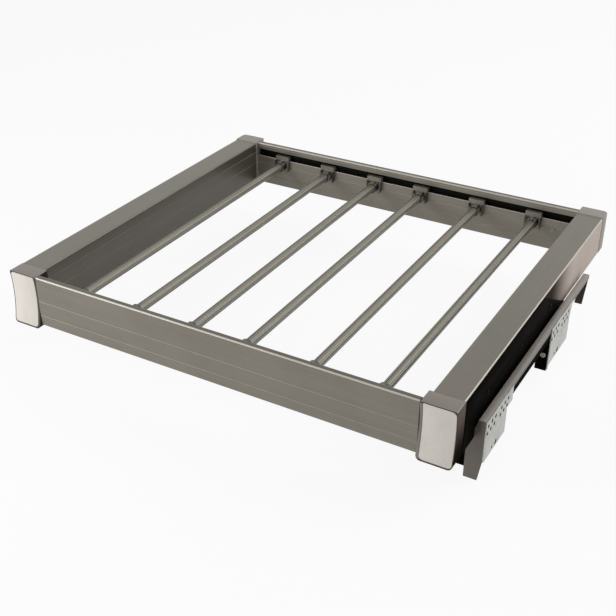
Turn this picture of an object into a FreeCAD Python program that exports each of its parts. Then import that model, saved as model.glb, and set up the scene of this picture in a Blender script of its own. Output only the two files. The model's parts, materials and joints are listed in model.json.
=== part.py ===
import FreeCAD, Part
import math
import os

import Sketcher

# Pull out trouser rack: a shallow frame of aluminium rails that carries six sliding bars and rides on two
# ball-bearing slides. Millimetres. Pieces are drawn from the middle of the frame's front top edge, with X to
# the right, Y to the back and Z up, then placed so that the origin is under the middle of the whole rack.

DIMENSIONS = (
    ("frame_width", 540, "over the corner caps"),
    ("frame_depth", 484, "from the front caps' top edge to the backs of the rear caps"),
    ("rail_height", 60, "height of all four rails"),
    ("rail_wall", 1.8, "wall of the extrusions"),
    ("rail_rounding", 2, "rounding along the rails' top edges"),
    ("lip_rounding", 0.7, "rounding of the lip's top edges"),
    ("side_rail_width", 32.8, "side rail across the frame"),
    ("side_box_height", 47, "closed box of a side rail, over the slide"),
    ("cap_overhang", 0.6, "corner caps beyond the side rails"),
    ("end_rail_depth", 7.6, "thickness of the front and rear rails"),
    ("rail_end_gap", 0.3, "end rails short of the caps"),
    ("front_inset", 0.5, "front rail behind the caps' top edge"),
    ("rear_inset", 8.9, "rear rail ahead of the rear caps' backs"),
    ("nose_height", 8.7, "nose over the hook channel"),
    ("nose_line_drop", 3.8, "groove in the nose below the rail's top"),
    ("slot_height", 10.3, "mouth of the hook channel"),
    ("lip_height", 9, "lip that the clips hook over, above the channel's floor"),
    ("line_width", 1, "decorative grooves along the rails"),
    ("line_depth", 0.8, "depth of those grooves"),
    ("upper_line_rise", 30, "upper groove above the rail's foot"),
    ("lower_line_rise", 12, "lower groove above the rail's foot"),
    ("side_line_drop", 13.5, "upper groove of a side rail below its top"),
    ("front_cap_width", 37.5, "front cap across the frame"),
    ("front_cap_depth", 20, "front cap along the frame"),
    ("rear_cap_width", 33.4, "rear cap across the frame"),
    ("rear_cap_depth", 22, "rear cap along the frame"),
    ("rear_cap_rise", 1, "rear cap above the rails"),
    ("cap_drop", 5, "front caps below the rails"),
    ("rear_cap_drop", 2, "rear caps below the rails"),
    ("cap_top_radius", 1.5, "top corners of a front cap"),
    ("cap_foot_radius", 5, "lower corners of a front cap"),
    ("rear_cap_radius", 6, "outer upright corner of a rear cap"),
    ("rear_cap_rounding", 1.5, "top edges of a rear cap"),
    ("dish_radius", 170, "hollow front face of a front cap"),
    ("dish_depth", 1.5, "deepest point of the hollow behind the top edge"),
    ("dish_drop", 24, "deepest point of the hollow below the top"),
    ("face_stock", 12, "blank in front of the caps that the hollow is cut from"),
    ("inlay_inner_rim", 3.2, "cap's rim beside the face inlay, towards the rail"),
    ("inlay_outer_rim", 0.9, "rim on the inlay's other side"),
    ("inlay_top_rim", 1.2, "rim above the inlay"),
    ("inlay_foot_rim", 1.6, "rim below the inlay"),
    ("inlay_inner_radius", 1.2, "inlay's top corner towards the rail"),
    ("inlay_outer_radius", 5, "inlay's other top corner"),
    ("inlay_foot_radius", 4, "inlay's lower corners"),
    ("inlay_thick", 1.2, "face inlay"),
    ("seat_gap", 0.1, "space round a fixed piece in its seat"),
    ("spigot_length", 36, "cap's spigot inside a rail"),
    ("spigot_screw", 29, "spigot's screw from the cap's inner face"),
    ("screw_drop", 3.7, "end rail's screws below the channel's floor"),
    ("screw_radius", 1.6, "shank of the cap screws"),
    ("screw_head_radius", 3.2, "head of the cap screws"),
    ("screw_head_height", 0.8, "height of those heads"),
    ("screw_length", 8, "side rail's cap screws under the head"),
    ("screw_tip_gap", 0.3, "end rail's screws short of its outer wall"),
    ("bar_radius", 5.5, "hanging bar"),
    ("bar_wall", 1.2, "wall of the bar's tube"),
    ("bar_drop", 26, "bar's axis below the frame's top"),
    ("bar_seat", 4, "bar's end from the rail's inner face"),
    ("first_bar_gap", 43.1, "first bar's even place from the left rail's inner wall"),
    ("last_bar_gap", 55.4, "last bar's even place from the right rail's inner wall"),
    ("bar_1_at", 0, "each bar slid along the rails from its even place"),
    ("bar_2_at", -1.14, "second bar"),
    ("bar_3_at", -2.38, "third bar"),
    ("bar_4_at", -8.42, "fourth bar"),
    ("bar_5_at", -2.86, "fifth bar"),
    ("bar_6_at", 0, "sixth bar"),
    ("clip_width", 21, "clip's tab along the rail"),
    ("clip_play", 0.3, "running clearance between clip and rail"),
    ("clip_relief", 1.2, "clip's socket clear of the rail's screw heads"),
    ("bridge_height", 6, "clip over the rail's lip"),
    ("hook_thick", 2, "clip's hook behind the lip"),
    ("hook_drop", 6.5, "hook below the lip's edge"),
    ("tab_thick", 3, "clip's tab in front of the lip"),
    ("tab_drop", 5.5, "tab below the lip's edge"),
    ("socket_wall", 2, "wall of the clip's socket round the bar"),
    ("front_socket", 27, "reach of a front clip's socket"),
    ("rear_socket", 12, "reach of a rear clip's socket"),
    ("rib_at", 9.3, "clip's ribs from the bar's axis"),
    ("rib_thick", 1.8, "thickness of a rib"),
    ("rib_reach", 6, "rib's reach from the rail"),
    ("slide_thickness", 12.7, "slide from the side rail's box down to the carrier's tray"),
    ("slide_side_gap", 0.6, "slide inside the side rail's skirt and outer wall"),
    ("slide_length", 278, "cabinet member along the frame"),
    ("slide_setback", 52, "slide behind the caps' top edge"),
    ("member_gauge", 1.2, "sheet of the slide members"),
    ("cabinet_clear", 2, "cabinet member's flanges below the drawer member"),
    ("middle_clear", 0.4, "middle member's flanges and the inner cage below the drawer member"),
    ("leg_top", 2, "drawer member's leg below the frame's top"),
    ("leg_slant", 86, "slant of the leg's rear end"),
    ("leg_overhang", 4.5, "leg's foot beyond the rest of the drawer member"),
    ("leg_front_gap", 1, "leg's front tab ahead of the carrier"),
    ("slide_play", 0.3, "running clearance between slide pieces"),
    ("cage_gauge", 0.5, "sheet of the ball cages"),
    ("ball_radius", 1.2, "slide ball"),
    ("ball_pitch", 20, "balls along a cage"),
    ("bumper_length", 8, "bumper in the cabinet member's rear end"),
    ("bumper_play", 0.5, "members short of the bumper when shut"),
    ("slide_screw_radius", 2, "shank of the drawer member's screws"),
    ("slide_screw_head", 3.5, "radius of their heads"),
    ("slide_screw_head_height", 0.6, "height of their heads"),
    ("slide_screw_length", 7, "those screws under the head"),
    ("slide_screw_inset", 25, "first of those screws from the slide's front end"),
    ("slide_screw_rear_inset", 56.5, "last of those screws from the drawer member's rear end"),
    ("slide_screw_drop", 25, "those screws below the frame's top"),
    ("carrier_gap", 4.1, "carrier clear of the side rail's outer wall"),
    ("strip_rise", 8, "carrier's top above the foot of the side rail's box"),
    ("carrier_gauge", 1.5, "sheet of the carrier"),
    ("carrier_front", 50, "carrier behind the caps' top edge"),
    ("carrier_length", 335, "carrier along the frame"),
    ("strip_width", 7.3, "carrier's top strip"),
    ("inner_hem", 7, "carrier's hem behind the slide"),
    ("outer_hem", 5.4, "carrier's hem behind the mount plates"),
    ("end_flange_height", 72, "carrier's front end flange"),
    ("left_flange_height", 57, "left carrier's front end flange"),
    ("end_flange_slant", 36.8, "slanted part of that flange's inner edge"),
    ("end_flange_reach", 10.7, "that flange inward of the carrier"),
    ("end_flange_taper_rise", 25, "tapered part of its outer edge, above the foot"),
    ("end_flange_taper", 3.8, "its outer edge drawn in at the foot"),
    ("rear_flange_height", 41, "carrier's rear end flange"),
    ("rear_flange_reach", 5.5, "rear end flange inward of the carrier at its foot"),
    ("guard_thick", 4, "guard's front part along the frame"),
    ("guard_height", 38.5, "guard's front part below the carrier's tray"),
    ("guard_shoulder", 3.2, "front part's outer corner below the tray"),
    ("guard_rail_height", 9, "guard's rail below the carrier's outer hem"),
    ("guard_backing_height", 12.8, "guard behind the plates' rows of holes, below that hem"),
    ("guard_back_thick", 2, "guard's rear part along the frame"),
    ("guard_screw_at", 5.2, "guard's screw from the carrier's outer face"),
    ("guard_screw_drop", 34.4, "that screw below the carrier's top"),
    ("plate_gauge", 1.2, "sheet of the mount plates"),
    ("plate_length", 73, "mount plate along the frame"),
    ("plate_height", 47.3, "mount plate"),
    ("plate_drop", 1, "plate's top below the carrier's"),
    ("plate_spacing", 194, "from one plate's holes to the other's"),
    ("return_width", 13, "guard's rear part inward of the carrier's outer face"),
    ("return_drop", 5.7, "guard's rear part below the plate"),
    ("return_slant", 8, "slanted inner corner of that part and of the plate's return flange"),
    ("return_clear", 0.3, "both clear of the carrier's tray"),
    ("return_inset", 1, "rear plate's return flange inside the guard's outline"),
    ("step_drop", 18.5, "plate's lower part below the carrier's top"),
    ("front_tab_setback", 15, "front plate's lower part short of its upper part"),
    ("rear_tab_setback", 6, "rear plate's lower part short of its upper part"),
    ("row_hole_radius", 2.2, "plate's rows of holes"),
    ("row_hole_pitch", 9.4, "holes of one group along the plate"),
    ("row_inset", 5.4, "upper row's first hole from the plate's front edge"),
    ("row_rear_inset", 13.9, "upper row's last hole from the plate's rear edge"),
    ("row_shift", 2.5, "lower row ahead of the upper"),
    ("row_drop", 7.4, "upper row below the carrier's top"),
    ("row_gap", 7.4, "lower row below the upper"),
    ("mount_hole_radius", 3.25, "plate's panel screw hole"),
    ("mount_hole_at", 31, "that hole from the plate's front edge"),
    ("pilot_hole_radius", 1.75, "smaller hole beside it"),
    ("pilot_hole_at", 21.4, "smaller hole from the plate's front edge"),
    ("hole_drop", 43.3, "both holes below the carrier's top"),
    ("rivet_radius", 1, "rivet's shank"),
    ("rivet_head_radius", 1.6, "rivet's head"),
    ("rivet_head_height", 1.1, "height of that head"),
    ("rivet_inset", 30, "outer carrier rivets from the slide's ends"),
    ("plate_rivet_inset", 14, "plate's rivets from its ends"),
)
BALLS_PER_ROW = 6
BAR_COUNT = 6
HOLES_PER_GROUP = 3
SIDES = (("right", ""), ("left", "-"))
PLANES = {"X": "YZ_Plane", "Y": "XZ_Plane", "Z": "XY_Plane"}
SKETCH_START = 10.0

# Places shared by several pieces, as expressions of the driving dimensions
HALF = "(sizes.frame_width / 2)"
EDGE = f"({HALF} - sizes.cap_overhang)"
INNER = f"({EDGE} - sizes.side_rail_width)"
SKIRT = f"({INNER} + sizes.rail_wall)"
SIDE_MIDDLE = f"(({SKIRT} + {EDGE}) / 2)"
FOOT = "(-sizes.rail_height)"
BOX_FOOT = "(-sizes.side_box_height)"
CAP_FOOT = f"({FOOT} - sizes.cap_drop)"
REAR_CAP_FOOT = f"({FOOT} - sizes.rear_cap_drop)"
LIP_TOP = "(-sizes.nose_height - sizes.slot_height)"
SHELF = f"({LIP_TOP} - sizes.lip_height)"
SCREW_LEVEL = f"({SHELF} - sizes.rail_wall - sizes.screw_drop)"
FRONT_FACE = "sizes.front_inset"
FRONT_INNER = "(sizes.front_inset + sizes.end_rail_depth)"
REAR_FACE = "(sizes.frame_depth - sizes.rear_inset)"
REAR_INNER = f"({REAR_FACE} - sizes.end_rail_depth)"
REAR_CAP_FRONT = "(sizes.frame_depth - sizes.rear_cap_depth)"
FRONT_SPAN = f"({HALF} - sizes.front_cap_width)"
REAR_SPAN = f"({HALF} - sizes.rear_cap_width)"
SOCKET_RADIUS = "(sizes.bar_radius + sizes.seat_gap + sizes.socket_wall)"
FIRST_BAR = f"(sizes.first_bar_gap - {INNER})"
LAST_BAR = f"({INNER} - sizes.last_bar_gap)"
BAR_PITCH = f"(({LAST_BAR} - {FIRST_BAR}) / {BAR_COUNT - 1})"
RAIL_ROUNDING = "min(sizes.rail_rounding; 1.2 * sizes.rail_wall)"
END_SCREW_LENGTH = "(sizes.end_rail_depth - sizes.rail_wall - sizes.screw_tip_gap)"
INLAY_RIM = ("sizes.inlay_inner_rim", "sizes.inlay_outer_rim", "sizes.inlay_top_rim", "sizes.inlay_foot_rim")
INLAY_RADII = ("sizes.inlay_inner_radius", "sizes.inlay_outer_radius", "sizes.inlay_foot_radius")

SLIDE_END = "(sizes.slide_setback + sizes.slide_length)"
MEMBER_LENGTH = "(sizes.slide_length - sizes.bumper_length - sizes.bumper_play)"
RACE = "(2 * sizes.ball_radius + 2 * sizes.slide_play)"
CABINET_HALF = f"(({EDGE} - {SKIRT}) / 2 - sizes.slide_side_gap)"
OUTER_RACE = f"({CABINET_HALF} - sizes.member_gauge - {RACE} / 2)"
MIDDLE_HALF = f"({CABINET_HALF} - sizes.member_gauge - {RACE})"
INNER_RACE = f"({MIDDLE_HALF} - sizes.member_gauge - {RACE} / 2)"
DRAWER_HALF = f"({MIDDLE_HALF} - sizes.member_gauge - {RACE})"
PLATE_UNDER = f"({BOX_FOOT} - sizes.member_gauge)"
TRAY_TOP = f"({BOX_FOOT} - sizes.slide_thickness)"
TRAY_FOOT = f"({TRAY_TOP} - sizes.carrier_gauge)"
TRAY_INNER = f"({SKIRT} + sizes.slide_side_gap)"
CABINET_INSIDE = f"({TRAY_TOP} + sizes.member_gauge)"
CABINET_TIP = f"({PLATE_UNDER} - sizes.cabinet_clear)"
OUTER_CAGE_BACK = f"({CABINET_INSIDE} + sizes.slide_play)"
MIDDLE_BACK = f"({OUTER_CAGE_BACK} + sizes.cage_gauge + sizes.slide_play)"
MIDDLE_TIP = f"({PLATE_UNDER} - sizes.middle_clear)"
INNER_CAGE_BACK = f"({MIDDLE_BACK} + sizes.member_gauge + sizes.slide_play)"
DRAWER_TIP = f"({INNER_CAGE_BACK} + sizes.cage_gauge + sizes.slide_play)"
CAGE_FLANGE = f"({MIDDLE_TIP} - {INNER_CAGE_BACK})"
CAGE_LENGTH = f"({BALLS_PER_ROW} * sizes.ball_pitch)"
CAGE_START = f"(sizes.slide_setback + (sizes.slide_length - {CAGE_LENGTH}) / 2)"

CARRIER_INNER = f"({EDGE} + sizes.carrier_gap)"
CARRIER_OUTER = f"({CARRIER_INNER} + sizes.strip_width)"
STRIP_TOP = f"({BOX_FOOT} + sizes.strip_rise)"
HEM_FOOT = f"({STRIP_TOP} - sizes.outer_hem)"
NECK = f"({CARRIER_INNER} + sizes.carrier_gauge + sizes.return_clear)"
FLANGE_HEIGHTS = {"right": "sizes.end_flange_height", "left": "sizes.left_flange_height"}
GUARD_RAIL_FOOT = f"({HEM_FOOT} - sizes.guard_rail_height)"
GUARD_BACKING_FOOT = f"({HEM_FOOT} - sizes.guard_backing_height)"
GUARD_SCREW_AT = f"({CARRIER_OUTER} - sizes.guard_screw_at)"
GUARD_SCREW_LEVEL = f"({STRIP_TOP} - sizes.guard_screw_drop)"
RIVET_LEVEL = f"({STRIP_TOP} - sizes.carrier_gauge - sizes.rivet_head_radius - sizes.seat_gap)"
PLATE_TOP = f"({STRIP_TOP} - sizes.plate_drop)"
PLATE_FOOT = f"({PLATE_TOP} - sizes.plate_height)"
FRAME_TOP = f"(sizes.end_flange_height - {STRIP_TOP})"
DISH_AXIS = "(sizes.dish_depth - sizes.dish_radius)"
DISH_FOOT = f"({DISH_AXIS} + sqrt(sizes.dish_radius^2 - ({CAP_FOOT} + sizes.dish_drop)^2))"
DEPTH_MIDDLE = f"((sizes.frame_depth + {DISH_FOOT}) / 2)"

CAP_SCREW_HOLE = "(sizes.screw_radius + sizes.seat_gap)"
SLIDE_SCREW_HOLE = "(sizes.slide_screw_radius + sizes.seat_gap)"
RIVET_HOLE = "(sizes.rivet_radius + sizes.seat_gap)"
FIRST_SLIDE_SCREW = "(sizes.slide_setback + sizes.slide_screw_inset)"
LAST_SLIDE_SCREW = f"(sizes.slide_setback + {MEMBER_LENGTH} - sizes.slide_screw_rear_inset)"
SLIDE_SCREW_PLACES = (
    FIRST_SLIDE_SCREW,
    f"(({FIRST_SLIDE_SCREW} + {LAST_SLIDE_SCREW}) / 2)",
    LAST_SLIDE_SCREW,
)
RIVET_PLACES = (
    "(sizes.slide_setback + sizes.rivet_inset)",
    "(sizes.slide_setback + sizes.slide_length / 2)",
    f"({SLIDE_END} - sizes.rivet_inset)",
)
SIDE_SCREW_PLACES = (
    "(sizes.front_cap_depth + sizes.spigot_length / 2)",
    f"({REAR_CAP_FRONT} - sizes.spigot_length / 2)",
)
PLATE_STARTS = {
    "front": "sizes.carrier_front",
    "rear": "(sizes.carrier_front + sizes.plate_spacing)",
}

doc = FreeCAD.newDocument("pull_out_trouser_rack")
nodes = []


def make_sheet():
    """Sheet of driving dimensions: a name, a plain number with its alias, and what it measures."""
    sheet = doc.addObject("Spreadsheet::Sheet", "sizes")
    for row, (alias, value, note) in enumerate(DIMENSIONS, start=1):
        sheet.set(f"A{row}", alias)
        sheet.set(f"B{row}", str(value))
        sheet.setAlias(f"B{row}", alias)
        sheet.set(f"C{row}", note)
    doc.recompute()


def new_body(label):
    body = doc.addObject("PartDesign::Body", label)
    body.Label = label
    return body


def place_node(piece, label, across="0"):
    """Name a finished piece and move it from the frame's front top edge to the rack's origin."""
    piece.Label = label
    piece.setExpression("Placement.Base.x", across)
    piece.setExpression("Placement.Base.y", f"-{DEPTH_MIDDLE}")
    piece.setExpression("Placement.Base.z", FRAME_TOP)
    nodes.append(piece)


def sketch_across(body, axis, name, start):
    """Empty sketch square to an axis, at a distance along it."""
    sketch = body.newObject("Sketcher::SketchObject", name)
    plane = next(item for item in body.Origin.OriginFeatures if item.Role == PLANES[axis])
    sketch.AttachmentSupport = [(plane, "")]
    sketch.MapMode = "FlatFace"
    sketch.setExpression("AttachmentOffset.Base.z", f"-({start})" if axis == "Y" else start)
    return sketch


def hold_point(sketch, geometry, position, across, up, start):
    """Tie a point of a sketch to two expressions, measured from the sketch's origin."""
    for kind, expression, value in (("DistanceX", across, start[0]), ("DistanceY", up, start[1])):
        index = sketch.addConstraint(Sketcher.Constraint(kind, -1, 1, geometry, position, value))
        sketch.setExpression(f"Constraints[{index}]", expression)


def draw_polygon(sketch, corners):
    """Closed straight-sided outline whose corners are pairs of expressions."""
    count = len(corners)
    first = sketch.GeometryCount
    turns = [2 * math.pi * index / count for index in range(count)]
    ring = [FreeCAD.Vector(math.cos(turn), math.sin(turn), 0) * SKETCH_START for turn in turns]
    for index in range(count):
        sketch.addGeometry(Part.LineSegment(ring[index], ring[(index + 1) % count]), False)
    for index in range(count):
        following = first + (index + 1) % count
        sketch.addConstraint(Sketcher.Constraint("Coincident", first + index, 2, following, 1))
    for index, (across, up) in enumerate(corners):
        hold_point(sketch, first + index, 1, across, up, ring[index])


def draw_circle(sketch, across, up, radius):
    round_line = Part.Circle(FreeCAD.Vector(), FreeCAD.Vector(0, 0, 1), SKETCH_START)
    geometry = sketch.addGeometry(round_line, False)
    hold_point(sketch, geometry, 3, across, up, (0, 0))
    index = sketch.addConstraint(Sketcher.Constraint("Radius", geometry, SKETCH_START))
    sketch.setExpression(f"Constraints[{index}]", radius)


def pad(body, axis, name, outlines, start, length, backwards=False, circles=()):
    """Extrude closed outlines and circles along an axis."""
    sketch = sketch_across(body, axis, f"{name}_outline", start)
    for corners in outlines:
        draw_polygon(sketch, corners)
    for across, up, radius in circles:
        draw_circle(sketch, across, up, radius)
    feature = body.newObject("PartDesign::Pad", name)
    feature.Profile = sketch
    feature.setExpression("Length", length)
    feature.Reversed = (axis == "Y") != backwards
    doc.recompute()


def pocket(body, axis, name, start, length, backwards=False, circles=()):
    """Cut round holes along an axis, and make sure that they cut."""
    before = body.Shape.Volume
    sketch = sketch_across(body, axis, f"{name}_outline", start)
    for across, up, radius in circles:
        draw_circle(sketch, across, up, radius)
    feature = body.newObject("PartDesign::Pocket", name)
    feature.Profile = sketch
    feature.setExpression("Length", length)
    feature.Reversed = (axis != "Y") != backwards
    doc.recompute()
    if body.Shape.Volume >= before:
        raise RuntimeError(f"{body.Label}: {name} cuts nothing")


def fillet(body, name, radius, wanted):
    """Round the straight edges that a test picks from the body as it stands."""
    base = body.Tip
    box = base.Shape.BoundBox
    picked = [f"Edge{index}" for index, edge in enumerate(base.Shape.Edges, start=1) if wanted(edge, box)]
    feature = body.newObject("PartDesign::Fillet", name)
    feature.Base = (base, picked)
    feature.setExpression("Radius", radius)
    doc.recompute()


def runs_along(edge, axis):
    """Whether a straight edge is parallel to an axis."""
    low, high = edge.Vertexes[0].Point, edge.Vertexes[-1].Point
    step = high - low
    return step.Length > 0 and abs(abs(step[axis]) - step.Length) < 1e-6


def same(first, second):
    return abs(first - second) < 1e-6


def inner_side(sign, box):
    """The side of a box that faces the frame's middle."""
    return box.XMax if sign else box.XMin


def outer_side(sign, box):
    """The side of a box that faces away from the frame's middle."""
    return box.XMin if sign else box.XMax


def boolean(kind, name, base, tool):
    """Part::Cut, Part::Fuse or Part::Common of two pieces."""
    result = doc.addObject(kind, name)
    result.Base = base
    result.Tool = tool
    return result


def cylinder(name, axis, radius, length, centre):
    """Cylinder that starts at a point given by three expressions and runs along an axis."""
    piece = doc.addObject("Part::Cylinder", name)
    piece.setExpression("Radius", radius)
    piece.setExpression("Height", length)
    ways = {"X": FreeCAD.Vector(1, 0, 0), "Y": FreeCAD.Vector(0, 1, 0), "Z": FreeCAD.Vector(0, 0, 1)}
    piece.Placement.Rotation = FreeCAD.Rotation(ways["Z"], ways[axis])
    for coordinate, expression in zip("xyz", centre):
        piece.setExpression(f"Placement.Base.{coordinate}", expression)
    return piece


def headed_pin(name, axis, seat, forward, shank, head):
    """Screw or rivet whose head sits at a seat; forward is the sign of the way that its shank points."""
    shank_radius, shank_length = shank
    head_radius, head_height = head
    index = "XYZ".index(axis)
    shank_start, head_start = list(seat), list(seat)
    if forward == "+":
        head_start[index] = f"{seat[index]} - {head_height}"
    else:
        shank_start[index] = f"{seat[index]} - {shank_length}"
    stem = cylinder(f"{name}_shank", axis, shank_radius, shank_length, shank_start)
    top = cylinder(f"{name}_head", axis, head_radius, head_height, head_start)
    return boolean("Part::Fuse", name, stem, top)


def group(label, pieces):
    """Separate solids that share one node."""
    compound = doc.addObject("Part::Compound", label)
    compound.Links = pieces
    place_node(compound, label)


def groove(face, depth, level, upwards):
    """Three corners of a groove in an upright face, in the order in which the outline passes it."""
    top = f"{level} + sizes.line_width / 2"
    low = f"{level} - sizes.line_width / 2"
    corners = [(face, top), (depth, top), (face, low)]
    return corners[::-1] if upwards else corners


def end_rail(label, face, inward, span):
    """Front or rear rail: a nose over a hook channel, the lip for the clips, and a closed box below."""
    def at(depth):
        return f"{face} {inward} ({depth})"

    skin, cut = "sizes.rail_wall", "sizes.line_depth"
    deep = "sizes.end_rail_depth"
    wall = f"{deep} - {skin}"
    upper = f"{FOOT} + sizes.upper_line_rise"
    lower = f"{FOOT} + sizes.lower_line_rise"
    outline = [(at("0"), "0"), (at(deep), "0")]
    outline += groove(at(deep), at(f"{deep} - {cut}"), "-sizes.nose_line_drop", False)
    outline += [
        (at(deep), "-sizes.nose_height"),
        (at(wall), "-sizes.nose_height"),
        (at(wall), f"-{skin}"),
        (at(skin), f"-{skin}"),
        (at(skin), SHELF),
        (at(wall), SHELF),
        (at(wall), LIP_TOP),
        (at(deep), LIP_TOP),
    ]
    outline += groove(at(deep), at(f"{deep} - {cut}"), upper, False)
    outline += groove(at(deep), at(f"{deep} - {cut}"), lower, False)
    outline += [(at(deep), FOOT), (at("0"), FOOT)]
    outline += groove(at("0"), at(cut), lower, True)
    outline += groove(at("0"), at(cut), upper, True)
    box = [
        (at(skin), f"{SHELF} - {skin}"),
        (at(wall), f"{SHELF} - {skin}"),
        (at(wall), f"{FOOT} + {skin}"),
        (at(skin), f"{FOOT} + {skin}"),
    ]
    body = new_body(label)
    half_length = f"({span} - sizes.rail_end_gap)"
    pad(body, "X", f"{label}_extrusion", [outline, box], f"-{half_length}", f"2 * {half_length}")
    fillet(body, f"{label}_rounding", RAIL_ROUNDING,
           lambda edge, box: runs_along(edge, 0) and same(edge.Vertexes[0].Z, box.ZMax))
    sheet = doc.getObject("sizes")
    lip_level = -sheet.nose_height - sheet.slot_height
    fillet(body, f"{label}_lip_rounding", "min(sizes.lip_rounding; 0.45 * sizes.rail_wall)",
           lambda edge, box: runs_along(edge, 0) and same(edge.Vertexes[0].Z, lip_level))
    holes = [(f"{sign}({span} - sizes.spigot_screw)", SCREW_LEVEL, CAP_SCREW_HOLE) for _, sign in SIDES]
    pocket(body, "Y", f"{label}_screw_holes", at(deep), skin, inward == "+", circles=holes)
    place_node(body, label)


def side_rail(label, sign):
    """Side rail: a closed box over the slide, with a skirt on its inner side that hides the slide."""
    def at(across):
        return f"{sign}({across})"

    skin = "sizes.rail_wall"
    groove_floor = at(f"{INNER} + sizes.line_depth")
    outline = [
        (at(INNER), "0"),
        (at(EDGE), "0"),
        (at(EDGE), BOX_FOOT),
        (at(SKIRT), BOX_FOOT),
        (at(SKIRT), FOOT),
        (at(INNER), FOOT),
    ]
    outline += groove(at(INNER), groove_floor, f"{FOOT} + sizes.upper_line_rise", True)
    outline += groove(at(INNER), groove_floor, "-sizes.side_line_drop", True)
    box = [
        (at(SKIRT), f"-{skin}"),
        (at(f"{EDGE} - {skin}"), f"-{skin}"),
        (at(f"{EDGE} - {skin}"), f"{BOX_FOOT} + {skin}"),
        (at(SKIRT), f"{BOX_FOOT} + {skin}"),
    ]
    body = new_body(label)
    pad(body, "Y", f"{label}_extrusion", [outline, box], "sizes.front_cap_depth",
        f"{REAR_CAP_FRONT} - sizes.front_cap_depth")
    fillet(body, f"{label}_rounding", RAIL_ROUNDING,
           lambda edge, box: runs_along(edge, 1) and same(edge.Vertexes[0].Z, box.ZMax))
    slide_holes = [(place, "-sizes.slide_screw_drop", SLIDE_SCREW_HOLE) for place in SLIDE_SCREW_PLACES]
    pocket(body, "X", f"{label}_slide_holes", at(EDGE), skin, sign == "", circles=slide_holes)
    cap_holes = [(at(SIDE_MIDDLE), place, CAP_SCREW_HOLE) for place in SIDE_SCREW_PLACES]
    pocket(body, "Z", f"{label}_cap_holes", BOX_FOOT, skin, circles=cap_holes)
    place_node(body, label)


def add_spigots(body, label, sign, span, rail_faces, side_start, side_backwards):
    """Spigots that hold a corner cap in an end rail and in a side rail, with their screw holes."""
    fit = "(sizes.rail_wall + sizes.seat_gap)"
    near, far = rail_faces
    low = f"{FOOT} + {fit}"
    end_top = f"{SHELF} - {fit}"
    end_outline = [
        (f"{near} + {fit}", end_top),
        (f"{far} - {fit}", end_top),
        (f"{far} - {fit}", low),
        (f"{near} + {fit}", low),
    ]
    pad(body, "X", f"{label}_end_spigot", [end_outline], f"{sign}{span}", "sizes.spigot_length", sign == "")
    side_low = f"{BOX_FOOT} + {fit}"
    side_outline = [
        (f"{sign}({INNER} + {fit})", f"-{fit}"),
        (f"{sign}({EDGE} - {fit})", f"-{fit}"),
        (f"{sign}({EDGE} - {fit})", side_low),
        (f"{sign}({INNER} + {fit})", side_low),
    ]
    pad(body, "Y", f"{label}_side_spigot", [side_outline], side_start, "sizes.spigot_length", side_backwards)
    end_hole = (f"{sign}({span} - sizes.spigot_screw)", SCREW_LEVEL, CAP_SCREW_HOLE)
    pocket(body, "Y", f"{label}_end_hole", near, f"{far} - {near}", circles=[end_hole])
    side_place = SIDE_SCREW_PLACES[1 if side_backwards else 0]
    side_hole = (f"{sign}{SIDE_MIDDLE}", side_place, CAP_SCREW_HOLE)
    hole_depth = "sizes.screw_length + sizes.seat_gap"
    pocket(body, "Z", f"{label}_side_hole", BOX_FOOT, hole_depth, circles=[side_hole])


def face_prism(name, sign, rim, radii):
    """Upright block inside a front cap's outline by a rim, with rounded corners.

    The rim is given as inner, outer, top and foot; the radii as inner top, outer top and foot.
    """
    inner, outer, top, foot = rim
    inner_radius, outer_radius, foot_radius = radii
    outline = [
        (f"{sign}({FRONT_SPAN} + {inner})", f"-{top}"),
        (f"{sign}({HALF} - {outer})", f"-{top}"),
        (f"{sign}({HALF} - {outer})", f"{CAP_FOOT} + {foot}"),
        (f"{sign}({FRONT_SPAN} + {inner})", f"{CAP_FOOT} + {foot}"),
    ]
    body = new_body(name)
    pad(body, "Y", f"{name}_block", [outline], "-sizes.face_stock",
        "sizes.face_stock + sizes.front_cap_depth")
    for corner, radius, side in (("inner", inner_radius, inner_side), ("outer", outer_radius, outer_side)):
        fillet(body, f"{name}_{corner}_rounding", radius,
               lambda edge, box: runs_along(edge, 1) and same(edge.Vertexes[0].Z, box.ZMax)
               and same(edge.Vertexes[0].X, side(sign, box)))
    fillet(body, f"{name}_foot_rounding", foot_radius,
           lambda edge, box: runs_along(edge, 1) and same(edge.Vertexes[0].Z, box.ZMin))
    return body


def dish(name, extra):
    """Long cylinder across the frame whose far side is the caps' hollow face, or lies behind it."""
    radius = f"sizes.dish_radius + {extra}"
    return cylinder(name, "X", radius, "sizes.frame_width", (f"-{HALF}", DISH_AXIS, "-sizes.dish_drop"))


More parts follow.
